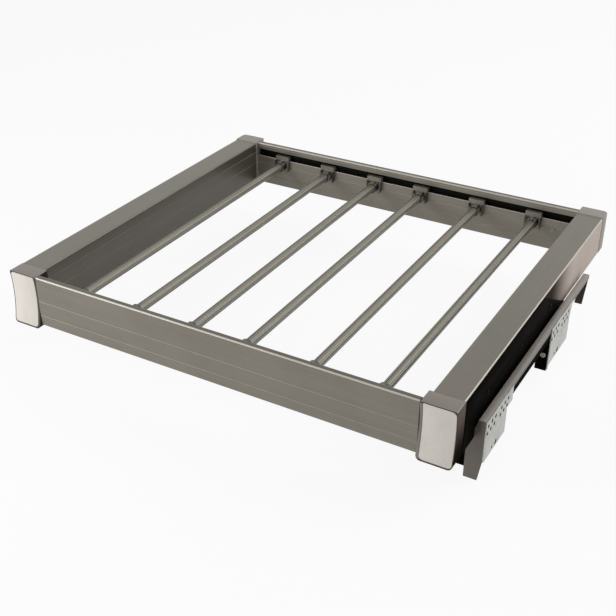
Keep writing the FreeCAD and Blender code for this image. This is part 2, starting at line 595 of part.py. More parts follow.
def front_cap(side, sign):
    """Front corner cap with a dished face, and the pale inlay seated in that face."""
    label = f"front_{side}_cap"
    cap_radii = ("sizes.cap_top_radius", "sizes.cap_top_radius", "sizes.cap_foot_radius")
    body = face_prism(f"{label}_blank", sign, ("0", "0", "0", "0"), cap_radii)
    add_spigots(body, label, sign, FRONT_SPAN, (FRONT_FACE, FRONT_INNER), "sizes.front_cap_depth", False)
    dished = boolean("Part::Cut", f"{label}_dished", body, dish(f"{label}_dish", "0"))
    seat_rim = [f"({width} - sizes.seat_gap)" for width in INLAY_RIM]
    seat_radii = [f"{radius} + sizes.seat_gap" for radius in INLAY_RADII]
    seat_block = face_prism(f"{label}_seat_block", sign, seat_rim, seat_radii)
    seat_dish = dish(f"{label}_seat_dish", "sizes.inlay_thick + sizes.seat_gap")
    seat = boolean("Part::Common", f"{label}_seat", seat_block, seat_dish)
    place_node(boolean("Part::Cut", label, dished, seat), label)

    inlay = f"front_{side}_inlay"
    block = face_prism(f"{inlay}_block", sign, INLAY_RIM, INLAY_RADII)
    backed = boolean("Part::Common", f"{inlay}_backed", block, dish(f"{inlay}_back", "sizes.inlay_thick"))
    place_node(boolean("Part::Cut", inlay, backed, dish(f"{inlay}_face", "0")), inlay)


def rear_cap(side, sign):
    """Rear corner cap with one rounded upright corner, cut away over the slide's path."""
    label = f"rear_{side}_cap"
    body = new_body(label)
    outline = [
        (f"{sign}{REAR_SPAN}", "sizes.rear_cap_rise"),
        (f"{sign}{HALF}", "sizes.rear_cap_rise"),
        (f"{sign}{HALF}", BOX_FOOT),
        (f"{sign}{SKIRT}", BOX_FOOT),
        (f"{sign}{SKIRT}", REAR_CAP_FOOT),
        (f"{sign}{REAR_SPAN}", REAR_CAP_FOOT),
    ]
    pad(body, "Y", f"{label}_block", [outline], REAR_CAP_FRONT, "sizes.rear_cap_depth")
    fillet(body, f"{label}_corner", "sizes.rear_cap_radius",
           lambda edge, box: runs_along(edge, 2) and same(edge.Vertexes[0].X, outer_side(sign, box))
           and same(edge.Vertexes[0].Y, box.YMax))
    fillet(body, f"{label}_rounding", "sizes.rear_cap_rounding",
           lambda edge, box: all(same(vertex.Z, box.ZMax) for vertex in edge.Vertexes))
    add_spigots(body, label, sign, REAR_SPAN, (REAR_INNER, REAR_FACE), REAR_CAP_FRONT, True)
    place_node(body, label)


def cap_screws():
    """Screws from the rails into the caps' spigots."""
    end_shank = ("sizes.screw_radius", END_SCREW_LENGTH)
    side_shank = ("sizes.screw_radius", "sizes.screw_length")
    head = ("sizes.screw_head_radius", "sizes.screw_head_height")
    ends = (("front", FRONT_INNER, FRONT_SPAN, "-"), ("rear", REAR_INNER, REAR_SPAN, "+"))
    for end, wall, span, forward in ends:
        label = f"{end}_rail_screws"
        screws = []
        for side, sign in SIDES:
            seat = (f"{sign}({span} - sizes.spigot_screw)", wall, SCREW_LEVEL)
            screws.append(headed_pin(f"{end}_{side}_rail_screw", "Y", seat, forward, end_shank, head))
        group(label, screws)
    screws = []
    for side, sign in SIDES:
        for index, place in enumerate(SIDE_SCREW_PLACES, start=1):
            seat = (f"{sign}{SIDE_MIDDLE}", place, BOX_FOOT)
            screws.append(headed_pin(f"{side}_side_rail_screw_{index}", "Z", seat, "+", side_shank, head))
    group("side_rail_screws", screws)


def clip(label, wall, inward, reach, across):
    """Clip that hooks over a rail's lip, with a ribbed socket for the bar's end."""
    def at(depth):
        return f"{wall} {inward} ({depth})"

    top = f"{LIP_TOP} + sizes.clip_play + sizes.bridge_height"
    under = f"{LIP_TOP} + sizes.clip_play"
    hook_foot = f"{LIP_TOP} - sizes.hook_drop"
    tab_foot = f"{LIP_TOP} - sizes.tab_drop"
    hook_front = at("-sizes.rail_wall - sizes.clip_play")
    hook_back = at("-sizes.rail_wall - sizes.clip_play - sizes.hook_thick")
    tab_front = at("sizes.clip_play + sizes.tab_thick")
    tab_back = at("sizes.clip_play")
    hook = [
        (tab_front, top),
        (hook_back, top),
        (hook_back, hook_foot),
        (hook_front, hook_foot),
        (hook_front, under),
        (tab_back, under),
        (tab_back, tab_foot),
        (tab_front, tab_foot),
    ]
    rib_foot = f"-sizes.bar_drop - {SOCKET_RADIUS}"
    ribs = []
    for _, sign in SIDES:
        ribs.append([
            (f"{sign}(sizes.rib_at - sizes.rib_thick / 2)", LIP_TOP),
            (f"{sign}(sizes.rib_at + sizes.rib_thick / 2)", LIP_TOP),
            (f"{sign}(sizes.rib_at + sizes.rib_thick / 2)", rib_foot),
            (f"{sign}(sizes.rib_at - sizes.rib_thick / 2)", rib_foot),
        ])
    back = inward == "-"
    body = new_body(label)
    pad(body, "X", f"{label}_hook", [hook], "-sizes.clip_width / 2", "sizes.clip_width")
    pad(body, "Y", f"{label}_socket", [], at("sizes.clip_relief"), f"{reach} - sizes.clip_relief", back,
        circles=[("0", "-sizes.bar_drop", SOCKET_RADIUS)])
    pad(body, "Y", f"{label}_ribs", ribs, at("sizes.clip_relief"), "sizes.rib_reach - sizes.clip_relief",
        back)
    pocket(body, "Y", f"{label}_bore", at("sizes.bar_seat"), reach, back,
           circles=[("0", "-sizes.bar_drop", "sizes.bar_radius + sizes.seat_gap")])
    place_node(body, label, across)


def bar(index):
    """Hanging bar, a plain tube, and the clips on its ends."""
    label = f"bar_{index}"
    across = f"{FIRST_BAR} + {index - 1} * {BAR_PITCH} + sizes.{label}_at"
    body = new_body(label)
    start = f"{FRONT_INNER} + sizes.bar_seat + sizes.seat_gap"
    length = f"{REAR_INNER} - {FRONT_INNER} - 2 * sizes.bar_seat - 2 * sizes.seat_gap"
    radii = ("sizes.bar_radius", "sizes.bar_radius - sizes.bar_wall")
    circles = [("0", "-sizes.bar_drop", radius) for radius in radii]
    pad(body, "Y", f"{label}_tube", [], start, length, circles=circles)
    place_node(body, label, across)
    clip(f"{label}_front_clip", FRONT_INNER, "+", "sizes.front_socket", across)
    clip(f"{label}_rear_clip", REAR_INNER, "-", "sizes.rear_socket", across)


def across_slide(sign, offset):
    """Place across the frame, measured from the slide's middle line."""
    return f"{sign}({SIDE_MIDDLE} {offset})"


def channel(label, sign, back, tip, half, gauge, start, length):
    """Sheet channel along the slide, open upwards: a web at back and two flanges up to tip."""
    route = (
        (f"- {half}", back),
        (f"+ {half}", back),
        (f"+ {half}", tip),
        (f"+ {half} - {gauge}", tip),
        (f"+ {half} - {gauge}", f"{back} + {gauge}"),
        (f"- {half} + {gauge}", f"{back} + {gauge}"),
        (f"- {half} + {gauge}", tip),
        (f"- {half}", tip),
    )
    outline = [(across_slide(sign, offset), level) for offset, level in route]
    body = new_body(label)
    pad(body, "Y", f"{label}_section", [outline], start, length)
    return body


def ball_cage(label, balls_label, sign, back, race):
    """Channel-shaped ball cage and its two rows of loose balls."""
    half = f"({race} + sizes.cage_gauge / 2)"
    body = channel(label, sign, back, f"{back} + {CAGE_FLANGE}", half, "sizes.cage_gauge",
                   CAGE_START, CAGE_LENGTH)
    level = f"({back} + {CAGE_FLANGE} / 2)"
    places = [f"{CAGE_START} + {index + 0.5} * sizes.ball_pitch" for index in range(BALLS_PER_ROW)]
    holes = [(place, level, "sizes.ball_radius + sizes.seat_gap") for place in places]
    pocket(body, "X", f"{label}_holes", across_slide(sign, f"- {half}"), f"2 * {half}", sign == "-",
           circles=holes)
    place_node(body, label)
    balls = []
    for row, direction in (("outer", "+"), ("inner", "-")):
        for index, place in enumerate(places, start=1):
            ball = doc.addObject("Part::Sphere", f"{balls_label}_{row}_{index}")
            ball.setExpression("Radius", "sizes.ball_radius")
            ball.setExpression("Placement.Base.x", across_slide(sign, f"{direction} {race}"))
            ball.setExpression("Placement.Base.y", place)
            ball.setExpression("Placement.Base.z", level)
            balls.append(ball)
    group(balls_label, balls)


def cabinet_member(side, sign):
    """Fixed member of the slide, riveted to the carrier's tray, with the bumper in its rear end."""
    label = f"{side}_cabinet_member"
    body = channel(label, sign, TRAY_TOP, CABINET_TIP, CABINET_HALF, "sizes.member_gauge",
                   "sizes.slide_setback", "sizes.slide_length")
    holes = [(across_slide(sign, "+ 0"), place, RIVET_HOLE) for place in RIVET_PLACES]
    pocket(body, "Z", f"{label}_holes", TRAY_TOP, "sizes.member_gauge", circles=holes)
    place_node(body, label)

    half = f"({CABINET_HALF} - sizes.member_gauge)"
    block = [
        (across_slide(sign, f"- {half}"), CABINET_TIP),
        (across_slide(sign, f"+ {half}"), CABINET_TIP),
        (across_slide(sign, f"+ {half}"), CABINET_INSIDE),
        (across_slide(sign, f"- {half}"), CABINET_INSIDE),
    ]
    bumper = new_body(f"{side}_rear_bumper")
    pad(bumper, "Y", f"{side}_bumper_block", [block], f"{SLIDE_END} - sizes.bumper_length",
        "sizes.bumper_length")
    place_node(bumper, f"{side}_rear_bumper")


def drawer_member(side, sign):
    """Member that carries the frame: a channel under the side rail and a leg up its outer wall."""
    label = f"{side}_drawer_member"
    gauge = "sizes.member_gauge"
    inside = f"({DRAWER_HALF} - {gauge})"
    section = [
        (across_slide(sign, f"- {DRAWER_HALF}"), BOX_FOOT),
        (f"{sign}({EDGE} + {gauge})", BOX_FOOT),
        (f"{sign}({EDGE} + {gauge})", PLATE_UNDER),
        (across_slide(sign, f"+ {DRAWER_HALF}"), PLATE_UNDER),
        (across_slide(sign, f"+ {DRAWER_HALF}"), DRAWER_TIP),
        (across_slide(sign, f"+ {inside}"), DRAWER_TIP),
        (across_slide(sign, f"+ {inside}"), PLATE_UNDER),
        (across_slide(sign, f"- {inside}"), PLATE_UNDER),
        (across_slide(sign, f"- {inside}"), DRAWER_TIP),
        (across_slide(sign, f"- {DRAWER_HALF}"), DRAWER_TIP),
    ]
    body = new_body(label)
    pad(body, "Y", f"{label}_section", [section], "sizes.slide_setback", MEMBER_LENGTH)
    front = "sizes.front_cap_depth + sizes.seat_gap"
    rear = f"sizes.slide_setback + {MEMBER_LENGTH} + sizes.leg_overhang"
    tab_end = "sizes.carrier_front - sizes.leg_front_gap"
    leg = [
        (front, "-sizes.leg_top"),
        (f"{rear} - sizes.leg_slant", "-sizes.leg_top"),
        (rear, PLATE_UNDER),
        (tab_end, PLATE_UNDER),
        (tab_end, TRAY_TOP),
        (front, TRAY_TOP),
    ]
    pad(body, "X", f"{label}_leg", [leg], f"{sign}{EDGE}", gauge, sign == "-")
    holes = [(place, "-sizes.slide_screw_drop", SLIDE_SCREW_HOLE) for place in SLIDE_SCREW_PLACES]
    pocket(body, "X", f"{label}_holes", f"{sign}{EDGE}", gauge, sign == "-", circles=holes)
    place_node(body, label)

    shank = ("sizes.slide_screw_radius", "sizes.slide_screw_length")
    head = ("sizes.slide_screw_head", "sizes.slide_screw_head_height")
    screws = []
    for index, place in enumerate(SLIDE_SCREW_PLACES, start=1):
        seat = (f"{sign}({EDGE} + {gauge})", place, "-sizes.slide_screw_drop")
        forward = "+" if sign else "-"
        screws.append(headed_pin(f"{side}_drawer_screw_{index}", "X", seat, forward, shank, head))
    group(f"{side}_drawer_screws", screws)


def slide(side, sign):
    """Telescopic slide under a side rail: three members, two ball cages and a bumper."""
    cabinet_member(side, sign)
    ball_cage(f"{side}_outer_cage", f"{side}_outer_balls", sign, OUTER_CAGE_BACK, OUTER_RACE)
    middle = channel(f"{side}_middle_member", sign, MIDDLE_BACK, MIDDLE_TIP, MIDDLE_HALF,
                     "sizes.member_gauge", "sizes.slide_setback", MEMBER_LENGTH)
    place_node(middle, f"{side}_middle_member")
    ball_cage(f"{side}_inner_cage", f"{side}_inner_balls", sign, INNER_CAGE_BACK, INNER_RACE)
    drawer_member(side, sign)


def carrier(side, sign):
    """Brown sheet carrier: a hemmed top strip, a tray under the slide and a flange at each end."""
    label = f"{side}_carrier"
    gauge = "sizes.carrier_gauge"

    def points(pairs):
        return [(f"{sign}({across})", level) for across, level in pairs]

    strip = points((
        (CARRIER_INNER, STRIP_TOP),
        (CARRIER_OUTER, STRIP_TOP),
        (CARRIER_OUTER, HEM_FOOT),
        (f"{CARRIER_OUTER} - {gauge}", HEM_FOOT),
        (f"{CARRIER_OUTER} - {gauge}", f"{STRIP_TOP} - {gauge}"),
        (f"{CARRIER_INNER} + {gauge}", f"{STRIP_TOP} - {gauge}"),
        (f"{CARRIER_INNER} + {gauge}", f"{STRIP_TOP} - sizes.inner_hem"),
        (CARRIER_INNER, f"{STRIP_TOP} - sizes.inner_hem"),
    ))
    tray = points((
        (CARRIER_INNER, f"{STRIP_TOP} - {gauge}"),
        (f"{CARRIER_INNER} + {gauge}", f"{STRIP_TOP} - {gauge}"),
        (f"{CARRIER_INNER} + {gauge}", TRAY_FOOT),
        (TRAY_INNER, TRAY_FOOT),
        (TRAY_INNER, TRAY_TOP),
        (CARRIER_INNER, TRAY_TOP),
    ))
    foot = f"{STRIP_TOP} - {FLANGE_HEIGHTS[side]}"
    inner_foot = f"{CARRIER_INNER} - sizes.end_flange_reach"
    front_flange = points((
        (CARRIER_INNER, STRIP_TOP),
        (CARRIER_OUTER, STRIP_TOP),
        (CARRIER_OUTER, f"{foot} + sizes.end_flange_taper_rise"),
        (f"{CARRIER_OUTER} - sizes.end_flange_taper", foot),
        (inner_foot, foot),
        (inner_foot, f"{STRIP_TOP} - sizes.end_flange_slant"),
    ))
    rear_foot = f"{STRIP_TOP} - sizes.rear_flange_height"
    rear_flange = points((
        (CARRIER_INNER, STRIP_TOP),
        (CARRIER_OUTER, STRIP_TOP),
        (f"{CARRIER_OUTER} - sizes.end_flange_taper", rear_foot),
        (f"{CARRIER_INNER} - sizes.rear_flange_reach", rear_foot),
    ))
    body = new_body(label)
    pad(body, "Y", f"{label}_strip", [strip], "sizes.carrier_front", "sizes.carrier_length")
    pad(body, "Y", f"{label}_tray", [tray], "sizes.carrier_front", f"{SLIDE_END} - sizes.carrier_front")
    pad(body, "Y", f"{label}_front_flange", [front_flange], "sizes.carrier_front", gauge)
    pad(body, "Y", f"{label}_rear_flange", [rear_flange],
        f"sizes.carrier_front + sizes.carrier_length - {gauge}", gauge)
    tray_holes = [(across_slide(sign, "+ 0"), place, RIVET_HOLE) for place in RIVET_PLACES]
    pocket(body, "Z", f"{label}_tray_holes", TRAY_FOOT, gauge, circles=tray_holes)
    outer_holes = [(place, RIVET_LEVEL, RIVET_HOLE) for place in plate_rivet_places()]
    pocket(body, "X", f"{label}_outer_holes", f"{sign}{CARRIER_OUTER}", gauge, sign == "",
           circles=outer_holes)
    place_node(body, label)


def return_outline(sign, outer, top, inset):
    """Outline square to the frame's length, round the carrier's tray, drawn in by an inset at two sides."""
    tray_level = f"({TRAY_FOOT} - sizes.return_clear)"
    inner = f"({CARRIER_OUTER} - sizes.return_width + {inset})"
    foot = f"({PLATE_FOOT} - sizes.return_drop + {inset})"
    corners = (
        (outer, top),
        (outer, foot),
        (inner, foot),
        (inner, f"{tray_level} - sizes.return_slant"),
        (NECK, tray_level),
        (NECK, top),
    )
    return [(f"{sign}({across})", level) for across, level in corners]


def slide_guard(side, sign):
    """Black guard under the carrier's hem: a rail along it, deeper behind the plates, and two cross parts."""
    label = f"{side}_slide_guard"
    inside = f"{CARRIER_OUTER} - sizes.carrier_gauge"
    shoulder = f"{TRAY_FOOT} - sizes.guard_shoulder"
    foot = f"{TRAY_FOOT} - sizes.guard_height"

    def strip(level):
        corners = ((inside, HEM_FOOT), (CARRIER_OUTER, HEM_FOOT), (CARRIER_OUTER, level), (inside, level))
        return [(f"{sign}({across})", height) for across, height in corners]

    front_corners = (
        (TRAY_INNER, TRAY_FOOT),
        (NECK, TRAY_FOOT),
        (NECK, HEM_FOOT),
        (CARRIER_OUTER, HEM_FOOT),
        (CARRIER_OUTER, shoulder),
        (HALF, shoulder),
        (HALF, foot),
        (TRAY_INNER, foot),
    )
    front = [(f"{sign}({across})", level) for across, level in front_corners]
    back = return_outline(sign, CARRIER_OUTER, HEM_FOOT, "0")
    front_start = "(sizes.carrier_front + sizes.carrier_gauge)"
    back_start = f"{PLATE_STARTS['rear']} - sizes.guard_back_thick"
    body = new_body(label)
    pad(body, "Y", f"{label}_rail", [strip(GUARD_RAIL_FOOT)], front_start,
        f"{PLATE_STARTS['rear']} + sizes.plate_length - {front_start}")
    for end, start in (("front", front_start), ("rear", PLATE_STARTS["rear"])):
        pad(body, "Y", f"{label}_{end}_backing", [strip(GUARD_BACKING_FOOT)], start,
            f"{PLATE_STARTS[end]} + sizes.plate_length - {start}")
    pad(body, "Y", f"{label}_front", [front], front_start, "sizes.guard_thick")
    pad(body, "Y", f"{label}_back", [back], back_start, "sizes.guard_back_thick")
    pocket(body, "Y", f"{label}_hole", back_start, "sizes.guard_back_thick",
           circles=[(f"{sign}{GUARD_SCREW_AT}", GUARD_SCREW_LEVEL, CAP_SCREW_HOLE)])
    place_node(body, label)


def guard_screws():
    """Screws that hold the guards' rear parts to the rear plates' return flanges."""
    shank = ("sizes.screw_radius", "(sizes.guard_back_thick + sizes.plate_gauge)")
    head = ("sizes.screw_head_radius", "sizes.screw_head_height")
    face = f"{PLATE_STARTS['rear']} - sizes.guard_back_thick"
    screws = []
    for side, sign in SIDES:
        seat = (f"{sign}{GUARD_SCREW_AT}", face, GUARD_SCREW_LEVEL)
        screws.append(headed_pin(f"{side}_guard_screw", "Y", seat, "+", shank, head))
    group("guard_screws", screws)


def plate_rivet_places():
    """Rivets near both ends of each mount plate."""
    places = []
    for start in PLATE_STARTS.values():
        places.append(f"({start} + sizes.plate_rivet_inset)")
        places.append(f"({start} + sizes.plate_length - sizes.plate_rivet_inset)")
    return places


def mount_plate(side, sign, end):
    """Zinc plate that is screwed to the wardrobe's side, with two rows of small holes and two lower holes."""
    label = f"{side}_{end}_plate"
    start = PLATE_STARTS[end]
    stop = f"{start} + sizes.plate_length"
    step = f"{STRIP_TOP} - sizes.step_drop"
    tab_stop = f"{stop} - sizes.{end}_tab_setback"
    outline = [(start, PLATE_TOP), (stop, PLATE_TOP)]
    if end == "front":
        outline.append((stop, step))
    outline += [(tab_stop, step), (tab_stop, PLATE_FOOT), (start, PLATE_FOOT)]
    body = new_body(label)
    gauge = "sizes.plate_gauge"
    outer_face = f"({CARRIER_OUTER} + {gauge})"
    pad(body, "X", f"{label}_sheet", [outline], f"{sign}{CARRIER_OUTER}", gauge, sign == "-")
    if end == "rear":
        flange_top = f"{GUARD_BACKING_FOOT} - sizes.return_clear"
        flange = return_outline(sign, outer_face, flange_top, "sizes.return_inset")
        pad(body, "Y", f"{label}_return", [flange], start, gauge)
        pocket(body, "Y", f"{label}_screw_hole", start, gauge,
               circles=[(f"{sign}{GUARD_SCREW_AT}", GUARD_SCREW_LEVEL, CAP_SCREW_HOLE)])
    places = plate_rivet_places()[:2] if end == "front" else plate_rivet_places()[2:]
    holes = [(place, RIVET_LEVEL, RIVET_HOLE) for place in places]
    level = f"{STRIP_TOP} - sizes.hole_drop"
    holes.append((f"{start} + sizes.mount_hole_at", level, "sizes.mount_hole_radius"))
    holes.append((f"{start} + sizes.pilot_hole_at", level, "sizes.pilot_hole_radius"))
    upper = f"{STRIP_TOP} - sizes.row_drop"
    lower = f"{upper} - sizes.row_gap"
    for index in range(HOLES_PER_GROUP):
        offset = f"{index} * sizes.row_hole_pitch"
        front_place = f"{start} + sizes.row_inset + {offset}"
        rear_place = f"{stop} - sizes.row_rear_inset - {offset}"
        for place in (front_place, rear_place):
            holes.append((place, upper, "sizes.row_hole_radius"))
            holes.append((f"{place} - sizes.row_shift", lower, "sizes.row_hole_radius"))
    pocket(body, "X", f"{label}_holes", f"{sign}{outer_face}", gauge, sign == "", circles=holes)
    place_node(body, label)


def carrier_rivets(side, sign):
    """Rivets from the carrier's tray into the cabinet member, and from its hem into the plates."""
    head = ("sizes.rivet_head_radius", "sizes.rivet_head_height")
    gauge = "sizes.carrier_gauge"
    outward = "-" if sign else "+"
    rivets = []
    for index, place in enumerate(RIVET_PLACES, start=1):
        seat = (across_slide(sign, "+ 0"), place, TRAY_FOOT)
        shank = ("sizes.rivet_radius", f"({gauge} + sizes.member_gauge)")
        rivets.append(headed_pin(f"{side}_slide_rivet_{index}", "Z", seat, "+", shank, head))
    for index, place in enumerate(plate_rivet_places(), start=1):
        seat = (f"{sign}({CARRIER_OUTER} - {gauge})", place, RIVET_LEVEL)
        shank = ("sizes.rivet_radius", f"({gauge} + sizes.plate_gauge)")
        rivets.append(headed_pin(f"{side}_plate_rivet_{index}", "X", seat, outward, shank, head))
    group(f"{side}_carrier_rivets", rivets)


def check_document():
    """Stop if any object failed or any piece has no valid shape."""
    doc.recompute()
    for item in doc.Objects:
        if "Invalid" in item.State or "Error" in item.State:
            raise RuntimeError(f"{item.Label} failed: {item.State}")
    for piece in nodes:
        if piece.Shape.isNull() or not piece.Shape.isValid():
            raise RuntimeError(f"{piece.Label} has no valid shape")


make_sheet()
end_rail("front_rail", FRONT_FACE, "+", FRONT_SPAN)
end_rail("rear_rail", REAR_FACE, "-", REAR_SPAN)
for side, sign in SIDES:
    side_rail(f"{side}_side_rail", sign)
    front_cap(side, sign)
    rear_cap(side, sign)
cap_screws()
for index in range(1, BAR_COUNT + 1):
    bar(index)
for side, sign in SIDES:
    slide(side, sign)
    carrier(side, sign)
    slide_guard(side, sign)
    for end in PLATE_STARTS:
        mount_plate(side, sign, end)
    carrier_rivets(side, sign)
guard_screws()
check_document()

os.makedirs("parts", exist_ok=True)
for piece in nodes:
    piece.Shape.exportStep(os.path.join("parts", f"{piece.Label}.step"))
print(len(nodes), "pieces written")
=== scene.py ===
import json
import math

import bmesh
import bpy
from mathutils import Matrix, Vector


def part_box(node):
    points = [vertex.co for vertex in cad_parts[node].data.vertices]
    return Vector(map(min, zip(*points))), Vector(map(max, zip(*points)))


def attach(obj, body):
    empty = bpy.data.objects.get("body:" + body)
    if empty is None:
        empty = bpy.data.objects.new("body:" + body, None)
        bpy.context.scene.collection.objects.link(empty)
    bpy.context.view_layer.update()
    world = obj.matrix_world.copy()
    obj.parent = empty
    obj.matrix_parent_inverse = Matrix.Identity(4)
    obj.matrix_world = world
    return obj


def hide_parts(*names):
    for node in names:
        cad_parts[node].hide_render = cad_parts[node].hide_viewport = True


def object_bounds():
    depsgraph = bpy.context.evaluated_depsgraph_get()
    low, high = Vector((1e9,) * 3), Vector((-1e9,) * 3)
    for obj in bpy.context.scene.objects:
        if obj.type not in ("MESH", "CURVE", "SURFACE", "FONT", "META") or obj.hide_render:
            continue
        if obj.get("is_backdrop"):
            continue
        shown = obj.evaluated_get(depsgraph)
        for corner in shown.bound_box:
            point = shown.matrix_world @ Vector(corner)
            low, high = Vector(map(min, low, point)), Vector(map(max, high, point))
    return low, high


# Pull out trouser rack: finishes, some with painted highlights and painted shade, softened edges and fasteners
# around the imported model, with a plain studio.
# Lengths are metres in the imported model's frame: X to the right, Y to the back, Z up.

MM = 0.001
SIDES = ("right", "left")
ENDS = ("front", "rear")

# Camera, solved on the photo's own edges
CAMERA_PLACE = Vector((0.5199, -0.9457, 0.6540))
CAMERA_RIGHT = Vector((0.8675, 0.4974, 0.0))
CAMERA_UP = Vector((-0.2526, 0.4406, 0.8614))
CAMERA_LENS = 59.58
CAMERA_SENSOR = 36.0

# Studio: strength of the even light, the floor and its share of plain white, and soft boxes, with watts
AMBIENT = 0.42
WHITE = (1.0, 1.0, 1.0, 1.0)
FLOOR_SIZE = 12.0
FLOOR_GREY = (0.86, 0.86, 0.86, 1.0)
FLOOR_GLOW = 0.9
LAMPS = {
    "key": {"place": (-0.8, -0.9, 0.5), "size": 0.5, "power": 6.8},
    "side": {"place": (1.3, 0.9, 1.4), "size": 1.6, "power": 20.0},
}

# Finishes: a darker and a lighter tone of each, as 8-bit display colours
TONES = {
    "rail": ((118, 113, 103), (134, 129, 118)),
    "side_rail": ((106, 102, 93), (122, 117, 107)),
    # Painted highlights along the roundings of the rails' top edges and along the end rails' lip
    "rail_edge_highlight": ((172, 167, 157), (190, 185, 174)),
    "side_rail_edge_highlight": ((172, 167, 157), (190, 185, 174)),
    # Painted shade: the end rails' top face, darker than it is lit
    "rail_top_shade": ((82, 79, 71), (96, 92, 83)),
    # Painted highlights on the up-facing slopes of the rails' grooves
    "groove": ((156, 152, 139), (172, 167, 154)),
    "wall_groove_highlight": ((112, 108, 99), (126, 122, 112)),
    # Painted shade: near black in the end rails' hook channels and in the bores of the plates' holes
    "channel": ((10, 9, 7), (18, 17, 14)),
    # Painted light: the side rails' outer walls, paler as lit from the right
    "outer_wall_light_and_shade": ((186, 175, 166), (200, 189, 180)),
    # Painted shade: the side rails' inner walls
    "inner_wall_shade": ((74, 70, 62), (88, 84, 74)),
    "bar": ((118, 115, 105), (132, 128, 117)),
    # Painted shade and painted highlight on the bars' grooves, in turn
    "bar_groove_shade": ((58, 55, 48), (70, 67, 59)),
    "bar_line_highlight": ((164, 160, 148), (180, 175, 163)),
    "front_cap": ((122, 115, 108), (136, 129, 122)),
    # Painted shade: the front caps' rim, their sides, which darken towards the foot, and the darkest flank
    # beside the front rail
    "cap_rim_shade": ((62, 59, 52), (74, 71, 64)),
    "cap_side_shade": ((100, 90, 83), (114, 103, 95)),
    "cap_flank_shade": ((32, 29, 24), (42, 39, 33)),
    "rear_cap": ((138, 132, 124), (152, 146, 138)),
    "inlay": ((205, 198, 190), (221, 215, 207)),
    "clip": ((116, 110, 102), (134, 127, 118)),
    "clip_socket": ((62, 58, 51), (78, 74, 66)),
    # Painted glints and painted shade, in stripes that stand for the clips' ribs
    "clip_rib_glint_and_shade": ((30, 27, 22), (112, 108, 100)),
    "screw": ((112, 111, 106), (138, 137, 131)),
    "black_screw": ((8, 7, 6), (14, 13, 11)),
    "slide": ((6, 6, 4), (12, 11, 8)),
    "guard": ((6, 6, 4), (12, 11, 8)),
    "bumper": ((14, 14, 13), (24, 24, 23)),
    "cage": ((150, 150, 146), (176, 176, 172)),
    "ball": ((200, 200, 200), (220, 220, 220)),
    "carrier": ((98, 92, 86), (112, 106, 99)),
    # Painted light: the carriers' top strip, paler than the rest of the coated sheet
    "strip": ((152, 145, 138), (166, 159, 152)),
    "rear_flange": ((58, 48, 46), (70, 59, 56)),
    "plate": ((168, 169, 163), (194, 195, 189)),
}

# Tones of painted shade, that stretches fade to
WALL_SHADE = (58, 51, 44)
CAP_SHADE = (26, 22, 20)

# Drawn aluminium: the axis of its draw lines, and how metallic, rough and shiny it is
DRAWN = {
    "rail": {"along": "X", "metallic": 0.35},
    # Painted highlight along the rails' edge roundings
    "rail_edge_highlight": {"along": "X", "metallic": 0.35, "rough": (0.4, 0.5)},
    # Painted shade on the end rails' top
    "rail_top_shade": {"along": "X", "metallic": 0.35},
    # Painted highlights on the grooves' slopes
    "groove": {"along": "X", "rough": (0.5, 0.6), "specular": 0.1},
    "side_rail": {"along": "Y", "metallic": 0.35},
    "side_rail_edge_highlight": {"along": "Y", "metallic": 0.35, "rough": (0.4, 0.5)},
    "wall_groove_highlight": {"along": "Y", "rough": (0.5, 0.6), "specular": 0.1},
    "outer_wall_light_and_shade": {"along": "Y", "specular": 0.0},
    "inner_wall_shade": {"along": "Y", "metallic": 0.35},
    "bar": {"along": "Y", "metallic": 0.4, "rough": (0.3, 0.4), "relief": 0.08},
    "bar_groove_shade": {"along": "Y", "rough": (0.5, 0.6), "specular": 0.1},
    "bar_line_highlight": {"along": "Y", "rough": (0.5, 0.6), "specular": 0.1},
}

# Paint, powder coat and plain mouldings: spots of peel in a metre, and how rough, metallic and shiny it is
COATED = {
    # Painted shade of the hook channels and hole bores
    "channel": {"grain": 900.0, "rough": (0.5, 0.6), "specular": 0.05},
    "front_cap": {"grain": 1100.0, "rough": (0.36, 0.48), "metallic": 0.3},
    # Painted shade on the front caps' rim, sides and flank
    "cap_rim_shade": {"grain": 1100.0, "rough": (0.4, 0.52), "specular": 0.2},
    "cap_side_shade": {"grain": 1100.0, "rough": (0.4, 0.52), "specular": 0.0},
    "cap_flank_shade": {"grain": 1100.0, "rough": (0.4, 0.52), "specular": 0.05},
    "rear_cap": {"grain": 1300.0, "rough": (0.42, 0.55)},
    "clip_socket": {"grain": 1600.0, "rough": (0.18, 0.28), "metallic": 0.3},
    "black_screw": {"grain": 1500.0, "rough": (0.35, 0.5), "specular": 0.02},
    "slide": {"grain": 900.0, "rough": (0.4, 0.55), "specular": 0.004},
    "guard": {"grain": 1500.0, "rough": (0.5, 0.65), "specular": 0.004},
    "bumper": {"grain": 1500.0, "rough": (0.5, 0.65), "specular": 0.25},
    "carrier": {"grain": 800.0, "rough": (0.42, 0.55), "metallic": 0.2},
    # Painted light on the carriers' top strip
    "strip": {"grain": 800.0, "rough": (0.42, 0.55), "metallic": 0.2},
    "rear_flange": {"grain": 800.0, "rough": (0.42, 0.55), "specular": 0.1},
}

# Turned, pressed or polished steel
STEEL = {
    "screw": {"rough": (0.3, 0.42)},
    "cage": {"rough": (0.3, 0.42)},
    "ball": {"rough": (0.08, 0.14)},
}

